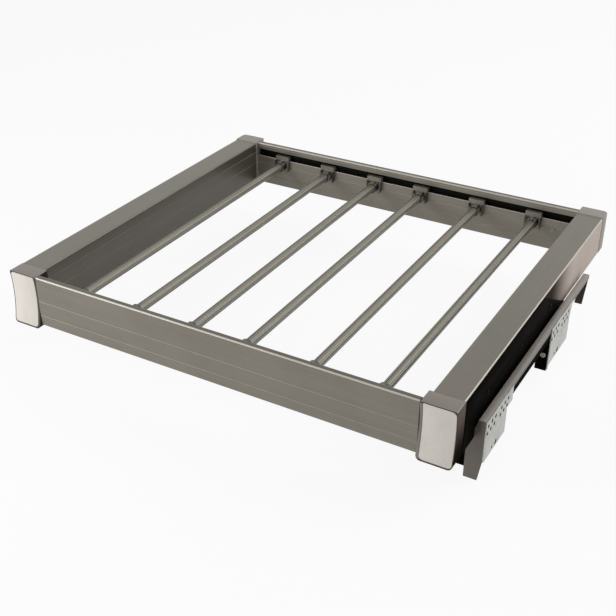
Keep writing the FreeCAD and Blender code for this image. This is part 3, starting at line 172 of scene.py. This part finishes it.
# Textures, in spots to the metre: fine lines across and along their run, soft clouds, and small marks
DRAW_LINES, DRAW_RUN = 1400.0, 5.0
DRAWN_CLOUDS = 22.0
COAT_CLOUDS = 30.0
CLIP_GRAIN = 1600.0
SPANGLE = 260.0
ROLL_LINES, ROLL_RUN = 900.0, 12.0
STEEL_MARKS = 700.0
FACE_LINES, FACE_RUN = 1500.0, 12.0
FACE_CLOUDS = (35.0, 35.0, 20.0)

# Middle range of a noise, which is spread over a finish's whole range
NOISE_RANGE = (0.3, 0.7)

# Bevels that ease the edges of each side's pieces, and of the clips
EASED = {
    "front_{side}_cap": 0.5 * MM,
    "rear_{side}_cap": 0.5 * MM,
    "front_{side}_inlay": 0.3 * MM,
    "{side}_carrier": 0.3 * MM,
    "{side}_slide_guard": 0.3 * MM,
    "{side}_drawer_member": 0.15 * MM,
    "{side}_front_plate": 0.15 * MM,
    "{side}_rear_plate": 0.15 * MM,
}
CLIP_EASING = 0.25 * MM

# Limits in the meshes
WELD = 0.001 * MM  # vertices to join
LEVEL_MARGIN = 0.01 * MM  # vertices at one level
FLAT_TURN = math.radians(0.5)  # faces to take as one
EASED_TURN = math.radians(30.0)  # edges to ease
CRISP_TURN = math.radians(35.0)  # edges to keep crisp

# Narrow grooves along the bars
FLUTES = 6
FLUTE_DEPTH = 0.35 * MM
FLUTE_EDGE = 0.3 * FLUTE_DEPTH
FLUTE_TURN = math.radians(40.0)
FLUTE_SHARPNESS = 24
FLUTE_STEPS = 24
BAR_WALL = 1.2 * MM

# Screw and rivet heads: shares of the head's radius and height at each ring, and of a screw's cross recess
ROUND_STEPS = 48
SCREW_HEAD = ((1.0, 0.4), (0.92, 0.8), (0.8, 1.0))
RIVET_HEAD = [(math.cos(math.asin(level)), level) for level in (0.2, 0.45, 0.7, 0.9)]
RECESS_ARM = 0.55
RECESS_HALF_WIDTH = 0.16
RECESS_FLOOR = 0.2

# Places of faces that take a finish of their own
SKIN = 1.0 * MM  # a sheet's or a wall's own surface
EDGE_BAND = 3.0 * MM  # roundings along a rail's top
RAIL_WALL = 1.8 * MM  # wall of an end rail, outside its hook channel
LIP_DROP = 19.0 * MM  # from an end rail's top to its lip
FLANGE_BAND = 2.0 * MM  # sheet of a carrier's rear flange
HOLE_MARGIN = 2.0 * MM  # rim of a mount plate, outside its holes

# Stretches of painted shade, and painted stripes of glint and shade on the clips' ribs
SHADE_BEFORE = 62.0 * MM  # on a side rail's outer wall, round the rear end of the slide's leg
SHADE_BEYOND = 26.0 * MM
CAP_DARK_FOOT = 12.0 * MM  # on a front cap's side
TAB_HEIGHT = 6.0 * MM  # a clip's plain tab, above its ribs
# Pitch of the painted rib stripes
RIB_PITCH = 4.2 * MM
RIB_FADE = 0.5 * MM

# How far a face's normal turns to an axis, from 0 to 1
RIM_TURN = 0.15
SLIGHTLY = 0.3
HALFWAY = 0.5
MAINLY = 0.8
NEARLY = 0.9
LEVEL = 0.97
SQUARE = 0.995

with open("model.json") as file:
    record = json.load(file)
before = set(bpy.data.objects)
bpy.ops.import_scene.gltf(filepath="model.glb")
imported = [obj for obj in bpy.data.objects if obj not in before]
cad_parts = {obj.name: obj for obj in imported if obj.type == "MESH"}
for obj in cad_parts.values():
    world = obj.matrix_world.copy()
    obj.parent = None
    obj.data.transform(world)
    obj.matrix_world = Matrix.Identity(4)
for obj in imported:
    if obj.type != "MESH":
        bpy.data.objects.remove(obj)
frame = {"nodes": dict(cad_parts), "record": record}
cad_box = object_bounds()
slot_of = {part["node"]: part["material_slot"] for part in frame["record"]["subparts"]}
body_of = {node: body for body, members in frame["record"]["behaviour"]["bodies"].items() for node in members}


def linear(color):
    """Display colour, 0 to 255, as the linear colour that a shader takes."""
    def channel(value):
        share = value / 255
        return share / 12.92 if share <= 0.04045 else ((share + 0.055) / 1.055) ** 2.4
    return tuple(channel(value) for value in color) + (1.0,)


def fill(node, inputs):
    """Set a shader node's inputs, by their names, to constants."""
    for socket, value in inputs.items():
        node.inputs[socket.replace("_", " ")].default_value = value


class NodeTree:
    """Shader nodes under construction."""

    def __init__(self, tree):
        self.tree = tree

    def add(self, kind, **inputs):
        node = self.tree.nodes.new(kind)
        fill(node, inputs)
        return node

    def link(self, output, socket):
        self.tree.links.new(output, socket)

    def calculate(self, operation, *terms):
        """Result of one operation on numbers and outputs of other nodes."""
        node = self.add("ShaderNodeMath")
        node.operation = operation
        for socket, term in zip(node.inputs, terms):
            if isinstance(term, float):
                socket.default_value = term
            else:
                self.link(term, socket)
        return node.outputs[0]

    def remap(self, value, source, target=(0.0, 1.0), curve="LINEAR"):
        """A value taken from one range to another, and level beyond the ends."""
        node = self.add("ShaderNodeMapRange", From_Min=source[0], From_Max=source[1],
                        To_Min=target[0], To_Max=target[1])
        node.interpolation_type = curve
        self.link(value, node.inputs["Value"])
        return node.outputs["Result"]

    def seen_directly(self):
        """1 for rays from the camera, in a mirror or through glass, 0 for the rest."""
        path = self.add("ShaderNodeLightPath")
        seen = path.outputs["Is Camera Ray"]
        for name in ("Is Glossy Ray", "Is Transmission Ray"):
            seen = self.calculate("MAXIMUM", seen, path.outputs[name])
        return seen


class Surface(NodeTree):
    """A node material under construction."""

    def __init__(self, name, **constants):
        self.material = bpy.data.materials.new(name)
        self.material.use_nodes = True
        super().__init__(self.material.node_tree)
        self.shader = self.tree.nodes["Principled BSDF"]
        fill(self.shader, constants)
        self.place = self.add("ShaderNodeTexCoord").outputs["Object"]

    def texture(self, kind, scale, **inputs):
        """Texture whose scale is given for all axes or for each, in spots to the metre."""
        scales = scale if isinstance(scale, tuple) else (scale, scale, scale)
        mapping = self.add("ShaderNodeMapping", Scale=scales)
        self.link(self.place, mapping.inputs["Vector"])
        texture = self.add(kind, Scale=1.0, **inputs)
        self.link(mapping.outputs["Vector"], texture.inputs["Vector"])
        return texture

    def noise(self, scale, detail=3.0, roughness=0.55):
        return self.texture("ShaderNodeTexNoise", scale, Detail=detail, Roughness=roughness).outputs["Fac"]

    def cells(self, scale):
        """Grey level that differs from one crystal-like cell to the next."""
        level = self.add("ShaderNodeRGBToBW")
        self.link(self.texture("ShaderNodeTexVoronoi", scale).outputs["Color"], level.inputs["Color"])
        return level.outputs["Val"]

    def average(self, first, second, share):
        """Weighted mean of two factors, with the second one's share."""
        mix = self.add("ShaderNodeMix", Factor=share)
        self.link(first, mix.inputs["A"])
        self.link(second, mix.inputs["B"])
        return mix.outputs["Result"]

    def position(self, axis):
        """Place along one axis."""
        split = self.add("ShaderNodeSeparateXYZ")
        self.link(self.place, split.inputs["Vector"])
        return split.outputs[axis]

    def ramp(self, axis, start, stop):
        """0 to 1 between two places along an axis, and level beyond them."""
        return self.remap(self.position(axis), (start, stop), curve="SMOOTHSTEP")

    def stripes(self, axis, pitch):
        """0 to 1 and back along an axis, once in each pitch."""
        turn = self.calculate("MULTIPLY", self.position(axis), 2 * math.pi / pitch)
        return self.remap(self.calculate("SINE", turn), (-1.0, 1.0))

    def blend(self, factor, tones):
        """Colour between two, each a tone or another blend."""
        mix = self.add("ShaderNodeMix")
        mix.data_type = "RGBA"
        colors = [socket for socket in mix.inputs if socket.type == "RGBA"]
        for socket, tone in zip(colors, tones):
            if isinstance(tone, tuple):
                socket.default_value = linear(tone)
            else:
                self.link(tone, socket)
        self.link(factor, mix.inputs["Factor"])
        return next(socket for socket in mix.outputs if socket.type == "RGBA")

    def vary(self, factor, tones):
        """Colour that follows a noise from the darker tone to the lighter one."""
        return self.blend(self.remap(factor, NOISE_RANGE), tones)

    def tint(self, factor, tones, shade=None):
        """Base colour between two tones, which fades to a painted shade where one is given."""
        color = self.vary(factor, tones)
        if shade:
            stretch, dark = shade
            color = self.blend(self.ramp(*stretch), (dark, color))
        self.link(color, self.shader.inputs["Base Color"])

    def gloss(self, factor, rough):
        """Roughness that follows a noise through a range."""
        self.link(self.remap(factor, NOISE_RANGE, rough), self.shader.inputs["Roughness"])

    def relief(self, factor, depth, strength):
        """Bump of a given depth."""
        bump = self.add("ShaderNodeBump", Strength=strength, Distance=depth)
        self.link(factor, bump.inputs["Height"])
        self.link(bump.outputs["Normal"], self.shader.inputs["Normal"])


def drawn_metal(key, along, metallic=0.0, rough=(0.3, 0.44), specular=0.5, relief=0.25, shade=None):
    """Anodised extrusion: fine draw lines along one axis over a faint cloudiness."""
    surface = Surface(f"{key}_finish", Metallic=metallic, Specular_IOR_Level=specular)
    scale = tuple(DRAW_RUN if axis == along else DRAW_LINES for axis in "XYZ")
    lines = surface.noise(scale, detail=4.0, roughness=0.65)
    clouds = surface.noise(DRAWN_CLOUDS)
    surface.tint(surface.average(lines, clouds, share=0.4), TONES[key], shade)
    surface.gloss(surface.average(lines, clouds, share=0.5), rough)
    surface.relief(lines, depth=0.03 * MM, strength=relief)
    return surface.material


def coated_metal(key, grain, rough, metallic=0.0, specular=0.5, shade=None):
    """Satin paint, powder coat or moulding with a fine orange peel."""
    surface = Surface(f"{key}_finish", Metallic=metallic, Specular_IOR_Level=specular)
    peel = surface.noise(grain, detail=2.0)
    clouds = surface.noise(COAT_CLOUDS)
    surface.tint(surface.average(peel, clouds, share=0.5), TONES[key], shade)
    surface.gloss(clouds, rough)
    surface.relief(peel, depth=0.06 * MM, strength=0.3)
    return surface.material


def bright_steel(key, rough):
    """Steel with faint handling marks."""
    surface = Surface(f"{key}_finish", Metallic=1.0)
    marks = surface.noise(STEEL_MARKS, detail=5.0)
    surface.tint(marks, TONES[key])
    surface.gloss(marks, rough)
    surface.relief(marks, depth=0.01 * MM, strength=0.2)
    return surface.material


def moulding_with_painted_ribs(level):
    """The clips' moulding, plain above a level, and below it painted in stripes of glint and shade that stand
    for ribs.
    """
    surface = Surface("clip_finish", Metallic=0.3)
    peel = surface.noise(CLIP_GRAIN, detail=2.0)
    plain = surface.vary(peel, TONES["clip"])
    rib_glint_and_shade = surface.blend(surface.stripes("X", RIB_PITCH), TONES["clip_rib_glint_and_shade"])
    color = surface.blend(surface.ramp("Z", level - RIB_FADE, level + RIB_FADE), (rib_glint_and_shade, plain))
    surface.link(color, surface.shader.inputs["Base Color"])
    surface.gloss(peel, rough=(0.24, 0.36))
    surface.relief(peel, depth=0.06 * MM, strength=0.3)
    return surface.material


def zinc():
    """The mount plates' zinc plated sheet: crystal spangle under fine roll lines."""
    surface = Surface("plate_finish", Metallic=0.6)
    spangle = surface.cells(SPANGLE)
    lines = surface.noise((ROLL_LINES, ROLL_RUN, ROLL_LINES))
    surface.tint(surface.average(spangle, lines, share=0.45), TONES["plate"])
    surface.gloss(spangle, rough=(0.32, 0.5))
    surface.relief(lines, depth=0.02 * MM, strength=0.2)
    return surface.material


def champagne():
    """Pale satin face of the front caps, drawn upwards under a clear coat."""
    surface = Surface("inlay_finish", Metallic=0.2, Coat_Weight=0.25, Coat_Roughness=0.25)
    lines = surface.noise((FACE_LINES, FACE_LINES, FACE_RUN))
    clouds = surface.noise(FACE_CLOUDS)
    surface.tint(surface.average(lines, clouds, share=0.6), TONES["inlay"])
    surface.gloss(lines, rough=(0.32, 0.44))
    surface.relief(lines, depth=0.015 * MM, strength=0.2)
    return surface.material


def make_finishes():
    """One material for each slot of the record, and more for parts of a piece that differ."""
    leg_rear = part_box("right_drawer_member")[1].y
    cap_low, cap_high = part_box("front_right_cap")
    # Painted shade: on a side rail's outer wall round the rear end of the slide's leg, and towards the foot of
    # a front cap's side
    shades = {
        "outer_wall_light_and_shade": (("Y", leg_rear - SHADE_BEFORE, leg_rear + SHADE_BEYOND), WALL_SHADE),
        "cap_side_shade": (("Z", cap_low.z + CAP_DARK_FOOT, cap_high.z), CAP_SHADE),
    }
    made = {
        "clip": moulding_with_painted_ribs(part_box("bar_1_rear_clip")[1].z - TAB_HEIGHT),
        "inlay": champagne(),
        "plate": zinc(),
    }
    for key, look in DRAWN.items():
        made[key] = drawn_metal(key, shade=shades.get(key), **look)
    for key, look in COATED.items():
        made[key] = coated_metal(key, shade=shades.get(key), **look)
    for key, look in STEEL.items():
        made[key] = bright_steel(key, **look)
    return made


def finish_of(node):
    """Key of a node's finish, whose draw lines run front to back on a side rail."""
    return "side_rail" if node.endswith("_side_rail") else slot_of[node]


def dress(piece, material):
    """Give the whole of a piece one material."""
    piece.data.materials.clear()
    piece.data.materials.append(material)


def smooth(mesh):
    """Smooth shading that stays crisp at sharper edges."""
    for face in mesh.polygons:
        face.use_smooth = True
    mesh.set_sharp_from_angle(angle=CRISP_TURN)


def welded(node):
    """A node's own mesh, with the vertices that its faces share joined."""
    mesh = bmesh.new()
    mesh.from_mesh(frame["nodes"][node].data)
    bmesh.ops.remove_doubles(mesh, verts=mesh.verts, dist=WELD)
    return mesh


def stand_for(mesh, node):
    """Let a refined mesh take a node's place, on the same body and in the same finish."""
    data = bpy.data.meshes.new(f"{node}_eased")
    mesh.to_mesh(data)
    mesh.free()
    smooth(data)
    piece = bpy.data.objects.new(f"{node}_eased", data)
    bpy.context.scene.collection.objects.link(piece)
    dress(piece, finishes[finish_of(node)])
    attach(piece, body_of[node])
    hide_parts(node)


def soften(node, width):
    """A node's own shape with its sharp edges eased by a small bevel."""
    mesh = welded(node)
    bmesh.ops.dissolve_limit(mesh, angle_limit=FLAT_TURN, verts=mesh.verts, edges=mesh.edges)
    sharp = [edge for edge in mesh.edges if edge.is_manifold and edge.calc_face_angle() > EASED_TURN]
    bmesh.ops.bevel(mesh, geom=sharp, offset=width, offset_type="OFFSET", segments=2, profile=0.5,
                    affect="EDGES", clamp_overlap=True)
    stand_for(mesh, node)


def part_finish(node, key, wanted):
    """Give some faces of a node, or of the piece that stands for it, another finish."""
    piece = bpy.data.objects.get(f"{node}_eased", frame["nodes"][node])
    piece.data.materials.append(finishes[key])
    for face in piece.data.polygons:
        if wanted(face.normal, face.center):
            face.material_index = len(piece.data.materials) - 1


def full_turn(count):
    """Even steps round a circle."""
    return [2 * math.pi * index / count for index in range(count)]


def ring(mesh, matrix, radii, level):
    """Closed ring of vertices round an axis, with a radius for each step."""
    return [mesh.verts.new(matrix @ Vector((radius * math.cos(turn), radius * math.sin(turn), level)))
            for radius, turn in zip(radii, full_turn(len(radii)))]


def join_rings(mesh, rings):
    """Skin from each ring to the next."""
    for low, high in zip(rings, rings[1:]):
        for index in range(len(low)):
            following = (index + 1) % len(low)
            mesh.faces.new((low[index], low[following], high[following], high[index]))


def flute_bar(node):
    """A bar's tube with narrow grooves along it, painted highlight and painted shade in turn, inside the plain
    tube's outline.
    """
    low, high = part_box(node)
    radius = (high.x - low.x) / 2
    centre = (low + high) / 2
    along = Matrix(((1, 0, 0), (0, 0, 1), (0, 1, 0))).to_4x4()
    matrix = Matrix.Translation((centre.x, low.y, centre.z)) @ along
    waves = [math.cos(FLUTES * (turn - FLUTE_TURN) / 2) for turn in full_turn(FLUTE_STEPS * FLUTES)]
    outer = [radius - FLUTE_DEPTH * abs(wave) ** FLUTE_SHARPNESS for wave in waves]
    inner = [radius - BAR_WALL] * len(outer)
    length = high.y - low.y
    mesh = bmesh.new()
    rings = [ring(mesh, matrix, inner, 0), ring(mesh, matrix, outer, 0),
             ring(mesh, matrix, outer, length), ring(mesh, matrix, inner, length)]
    join_rings(mesh, rings + rings[:1])
    bmesh.ops.recalc_face_normals(mesh, faces=mesh.faces)
    stand_for(mesh, node)

    # Every other groove takes a painted highlight, the rest painted shade
    for key, phase in (("bar_line_highlight", 0), ("bar_groove_shade", 1)):
        def grooved(normal, place):
            across, up = place.x - centre.x, place.z - centre.z
            groove = round((math.atan2(up, across) - FLUTE_TURN) * FLUTES / (2 * math.pi))
            sunk = radius - BAR_WALL / 2 < math.hypot(across, up) < radius - FLUTE_EDGE
            return abs(normal.y) < HALFWAY and sunk and groove % 2 == phase

        part_finish(node, key, grooved)


def islands(mesh):
    """Points of each separate solid in a mesh."""
    met = set()
    for start in mesh.verts:
        if start in met:
            continue
        met.add(start)
        solid = [start]
        for vertex in solid:
            near = [line.other_vert(vertex) for line in vertex.link_edges]
            fresh = [other for other in near if other not in met]
            met.update(fresh)
            solid.extend(fresh)
        yield [vertex.co.copy() for vertex in solid]


def reach(points, centre, axis, level):
    """Greatest distance from an axis among the points at one level along it."""
    offsets = [point - centre for point in points if abs(point[axis] - level) < LEVEL_MARGIN]
    for offset in offsets:
        offset[axis] = 0
    return max(offset.length for offset in offsets)


def pins(node):
    """Placing, shank radius and length, and head radius and height of each headed pin of a node."""
    mesh = welded(node)
    for points in islands(mesh):
        levels = [sorted({round(point[axis] / MM, 3) for point in points}) for axis in range(3)]
        axis = min(range(3), key=lambda index: len(levels[index]))
        low, seat, high = (level * MM for level in levels[axis])
        centre = Vector([(max(values) + min(values)) / 2 for values in zip(*points)])
        tip, top = sorted((low, high), key=lambda level: reach(points, centre, axis, level))
        shank, head = (reach(points, centre, axis, level) for level in (tip, top))
        place = centre.copy()
        place[axis] = seat
        outward = Vector((0, 0, 0))
        outward[axis] = 1 if top > seat else -1
        turn = outward.to_track_quat("Z", "Y").to_matrix().to_4x4()
        yield Matrix.Translation(place) @ turn, shank, abs(seat - tip), head, abs(top - seat)
    mesh.free()


def cross_reach(turn, arm, half_width):
    """Distance from the middle of a cross to its outline in one direction."""
    wide, narrow = abs(math.cos(turn)), abs(math.sin(turn))
    if narrow > wide:
        wide, narrow = narrow, wide
    return arm / wide if narrow * arm <= half_width * wide else half_width / narrow


def shape_pins(node, recessed):
    """Screws with a cross recess in an eased head, or rivets with a domed head."""
    mesh = bmesh.new()
    for matrix, shank, length, head, height in pins(node):
        def circle(radius, level):
            return ring(mesh, matrix, [radius] * ROUND_STEPS, level)

        rings = [circle(shank, -length), circle(shank, 0), circle(head, 0)]
        for width, level in SCREW_HEAD if recessed else RIVET_HEAD:
            rings.append(circle(width * head, level * height))
        if recessed:
            recess = [cross_reach(turn, RECESS_ARM * head, RECESS_HALF_WIDTH * head)
                      for turn in full_turn(ROUND_STEPS)]
            rings += [ring(mesh, matrix, recess, height), ring(mesh, matrix, recess, RECESS_FLOOR * height)]
        join_rings(mesh, rings)
        mesh.faces.new(rings[0])
        mesh.faces.new(rings[-1])
    bmesh.ops.recalc_face_normals(mesh, faces=mesh.faces)
    stand_for(mesh, node)


def sloping(normal):
    """Whether a face looks up and is neither upright nor level."""
    return SLIGHTLY < normal.z < LEVEL


def dress_grooves(node, key):
    """Painted highlight on the up-facing slopes of a rail's grooves, below the roundings of its top."""
    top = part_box(node)[1].z
    part_finish(node, key, lambda normal, centre: sloping(normal) and centre.z < top - EDGE_BAND)


def dress_side_rail(side):
    """Outer wall painted pale as lit, with painted shade round the leg's end; inner wall painted darker as
    shaded; and a painted highlight along the rounding of a side rail's outer top edge.
    """
    node = f"{side}_side_rail"
    low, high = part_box(node)
    outer, inner = (high.x, low.x) if side == "right" else (low.x, high.x)
    part_finish(node, "side_rail_edge_highlight", lambda normal, centre: sloping(normal)
                and centre.z > high.z - EDGE_BAND and abs(centre.x - outer) < abs(centre.x - inner))
    for key, wall in (("outer_wall_light_and_shade", outer), ("inner_wall_shade", inner)):
        part_finish(node, key, lambda normal, centre: abs(normal.x) > NEARLY
                    and abs(centre.x - wall) < SKIN)
    dress_grooves(node, "wall_groove_highlight")


def dress_end_rail(end):
    """Painted shade in the hook channel and on the top, and painted highlights on the roundings along the top
    and the lip of an end rail.
    """
    node = f"{end}_rail"
    low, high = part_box(node)
    part_finish(node, "channel", lambda normal, centre: abs(normal.x) < HALFWAY
                and low.y + RAIL_WALL - SKIN < centre.y < high.y - RAIL_WALL + SKIN
                and centre.z < high.z - SKIN)
    part_finish(node, "rail_top_shade", lambda normal, centre: normal.z > LEVEL and centre.z > high.z - SKIN)
    part_finish(node, "rail_edge_highlight", lambda normal, centre: sloping(normal) and centre.z > high.z - EDGE_BAND)
    dress_grooves(node, "groove")
    part_finish(node, "rail_edge_highlight", lambda normal, centre: normal.z > SLIGHTLY
                and abs(centre.z - high.z + LIP_DROP) < SKIN)


def dress_front_cap(side):
    """Painted shade on a front cap's sides, darkest on the flank beside the front rail, and on a rim round its
    face.

    The right cap's strip between the rail and the inlay keeps the cap's own finish.
    """
    node = f"front_{side}_cap"
    outward = 1 if side == "right" else -1
    strip_left, strip_right = (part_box(name)[0].x for name in ("front_right_cap", "front_right_inlay"))
    part_finish(node, "cap_side_shade", lambda normal, centre: outward * normal.x > MAINLY)
    part_finish(node, "cap_flank_shade", lambda normal, centre: outward * normal.x < -MAINLY)
    part_finish(node, "cap_rim_shade", lambda normal, centre: normal.y < -RIM_TURN
                and not strip_left < centre.x < strip_right)


def dress_plate(node):
    """Painted shade in the bores of a mount plate's holes, the only faces that run round inside its outline.
    """
    low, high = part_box(node)
    part_finish(node, "channel", lambda normal, centre: max(abs(part) for part in normal) < SQUARE
                and abs(normal.x) < SLIGHTLY and low.y + HOLE_MARGIN < centre.y < high.y - HOLE_MARGIN
                and low.z + HOLE_MARGIN < centre.z < high.z - HOLE_MARGIN)


def dress_carrier(side):
    """Top strip painted paler as lit, and a darker rear flange, of a carrier."""
    node = f"{side}_carrier"
    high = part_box(node)[1]
    part_finish(node, "strip", lambda normal, centre: normal.z > SLIGHTLY and centre.z > high.z - SKIN)
    part_finish(node, "rear_flange", lambda normal, centre: abs(normal.z) < SLIGHTLY
                and centre.y > high.y - FLANGE_BAND)


def add_floor():
    """Wide pale floor that keeps the rack's shadow."""
    bpy.ops.mesh.primitive_plane_add(size=FLOOR_SIZE, location=(0, 0, cad_box[0][2]))
    floor = bpy.context.object
    floor.name = "floor"
    surface = Surface("floor_white", Base_Color=FLOOR_GREY, Roughness=0.9, Specular_IOR_Level=0.0)
    white = surface.add("ShaderNodeEmission", Color=WHITE, Strength=1.0)
    mix = surface.add("ShaderNodeMixShader")
    surface.link(surface.calculate("MULTIPLY", surface.seen_directly(), FLOOR_GLOW), mix.inputs["Fac"])
    surface.link(surface.shader.outputs["BSDF"], mix.inputs[1])
    surface.link(white.outputs["Emission"], mix.inputs[2])
    surface.link(mix.outputs["Shader"], surface.tree.nodes["Material Output"].inputs["Surface"])
    dress(floor, surface.material)
    floor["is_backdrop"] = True


def add_sky():
    """White surroundings where they are seen, and even light elsewhere."""
    world = bpy.data.worlds.new("studio")
    world.use_nodes = True
    bpy.context.scene.world = world
    sky = NodeTree(world.node_tree)
    background = sky.tree.nodes["Background"]
    background.inputs["Color"].default_value = WHITE
    strength = sky.remap(sky.seen_directly(), (0.0, 1.0), (AMBIENT, 1.0))
    sky.link(strength, background.inputs["Strength"])


def add_lamp(name, place, size, power):
    """Square soft box that faces the rack's middle."""
    lamp = bpy.data.lights.new(name, "AREA")
    lamp.shape = "SQUARE"
    lamp.size = size
    lamp.energy = power
    box = bpy.data.objects.new(name, lamp)
    middle = (Vector(cad_box[0]) + Vector(cad_box[1])) / 2
    box.location = place
    box.rotation_euler = (middle - Vector(place)).to_track_quat("-Z", "Y").to_euler()
    bpy.context.scene.collection.objects.link(box)


def add_camera():
    """Camera at the photo's viewpoint."""
    data = bpy.data.cameras.new("camera")
    data.lens = CAMERA_LENS
    data.sensor_width = CAMERA_SENSOR
    camera = bpy.data.objects.new("camera", data)
    right = CAMERA_RIGHT.normalized()
    up = (CAMERA_UP - CAMERA_UP.project(right)).normalized()
    back = right.cross(up)
    camera.matrix_world = Matrix.Translation(CAMERA_PLACE) @ Matrix((right, up, back)).transposed().to_4x4()
    bpy.context.scene.collection.objects.link(camera)
    bpy.context.scene.camera = camera


finishes = make_finishes()
for node, piece in frame["nodes"].items():
    dress(piece, finishes[finish_of(node)])
    smooth(piece.data)

for side in SIDES:
    for pattern, width in EASED.items():
        soften(pattern.format(side=side), width)
    dress_front_cap(side)
    for end in ENDS:
        dress_plate(f"{side}_{end}_plate")
    dress_side_rail(side)
    dress_carrier(side)
    shape_pins(f"{side}_drawer_screws", recessed=True)
    shape_pins(f"{side}_carrier_rivets", recessed=False)
for end in ENDS:
    dress_end_rail(end)
for node in ("front_rail_screws", "rear_rail_screws", "side_rail_screws", "guard_screws"):
    shape_pins(node, recessed=True)
for node, slot in slot_of.items():
    if slot == "bar":
        flute_bar(node)
    elif slot == "clip":
        soften(node, CLIP_EASING)
        if node.endswith("_front_clip"):
            part_finish(node, "clip_socket", lambda normal, centre: True)

bpy.context.scene.view_settings.view_transform = "Standard"
add_floor()
add_sky()
for name, lamp in LAMPS.items():
    add_lamp(name, **lamp)
add_camera()

boxes = {"cad": cad_box, "visual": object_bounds()}
{name: [[float(value) for value in corner] for corner in box] for name, box in boxes.items()}
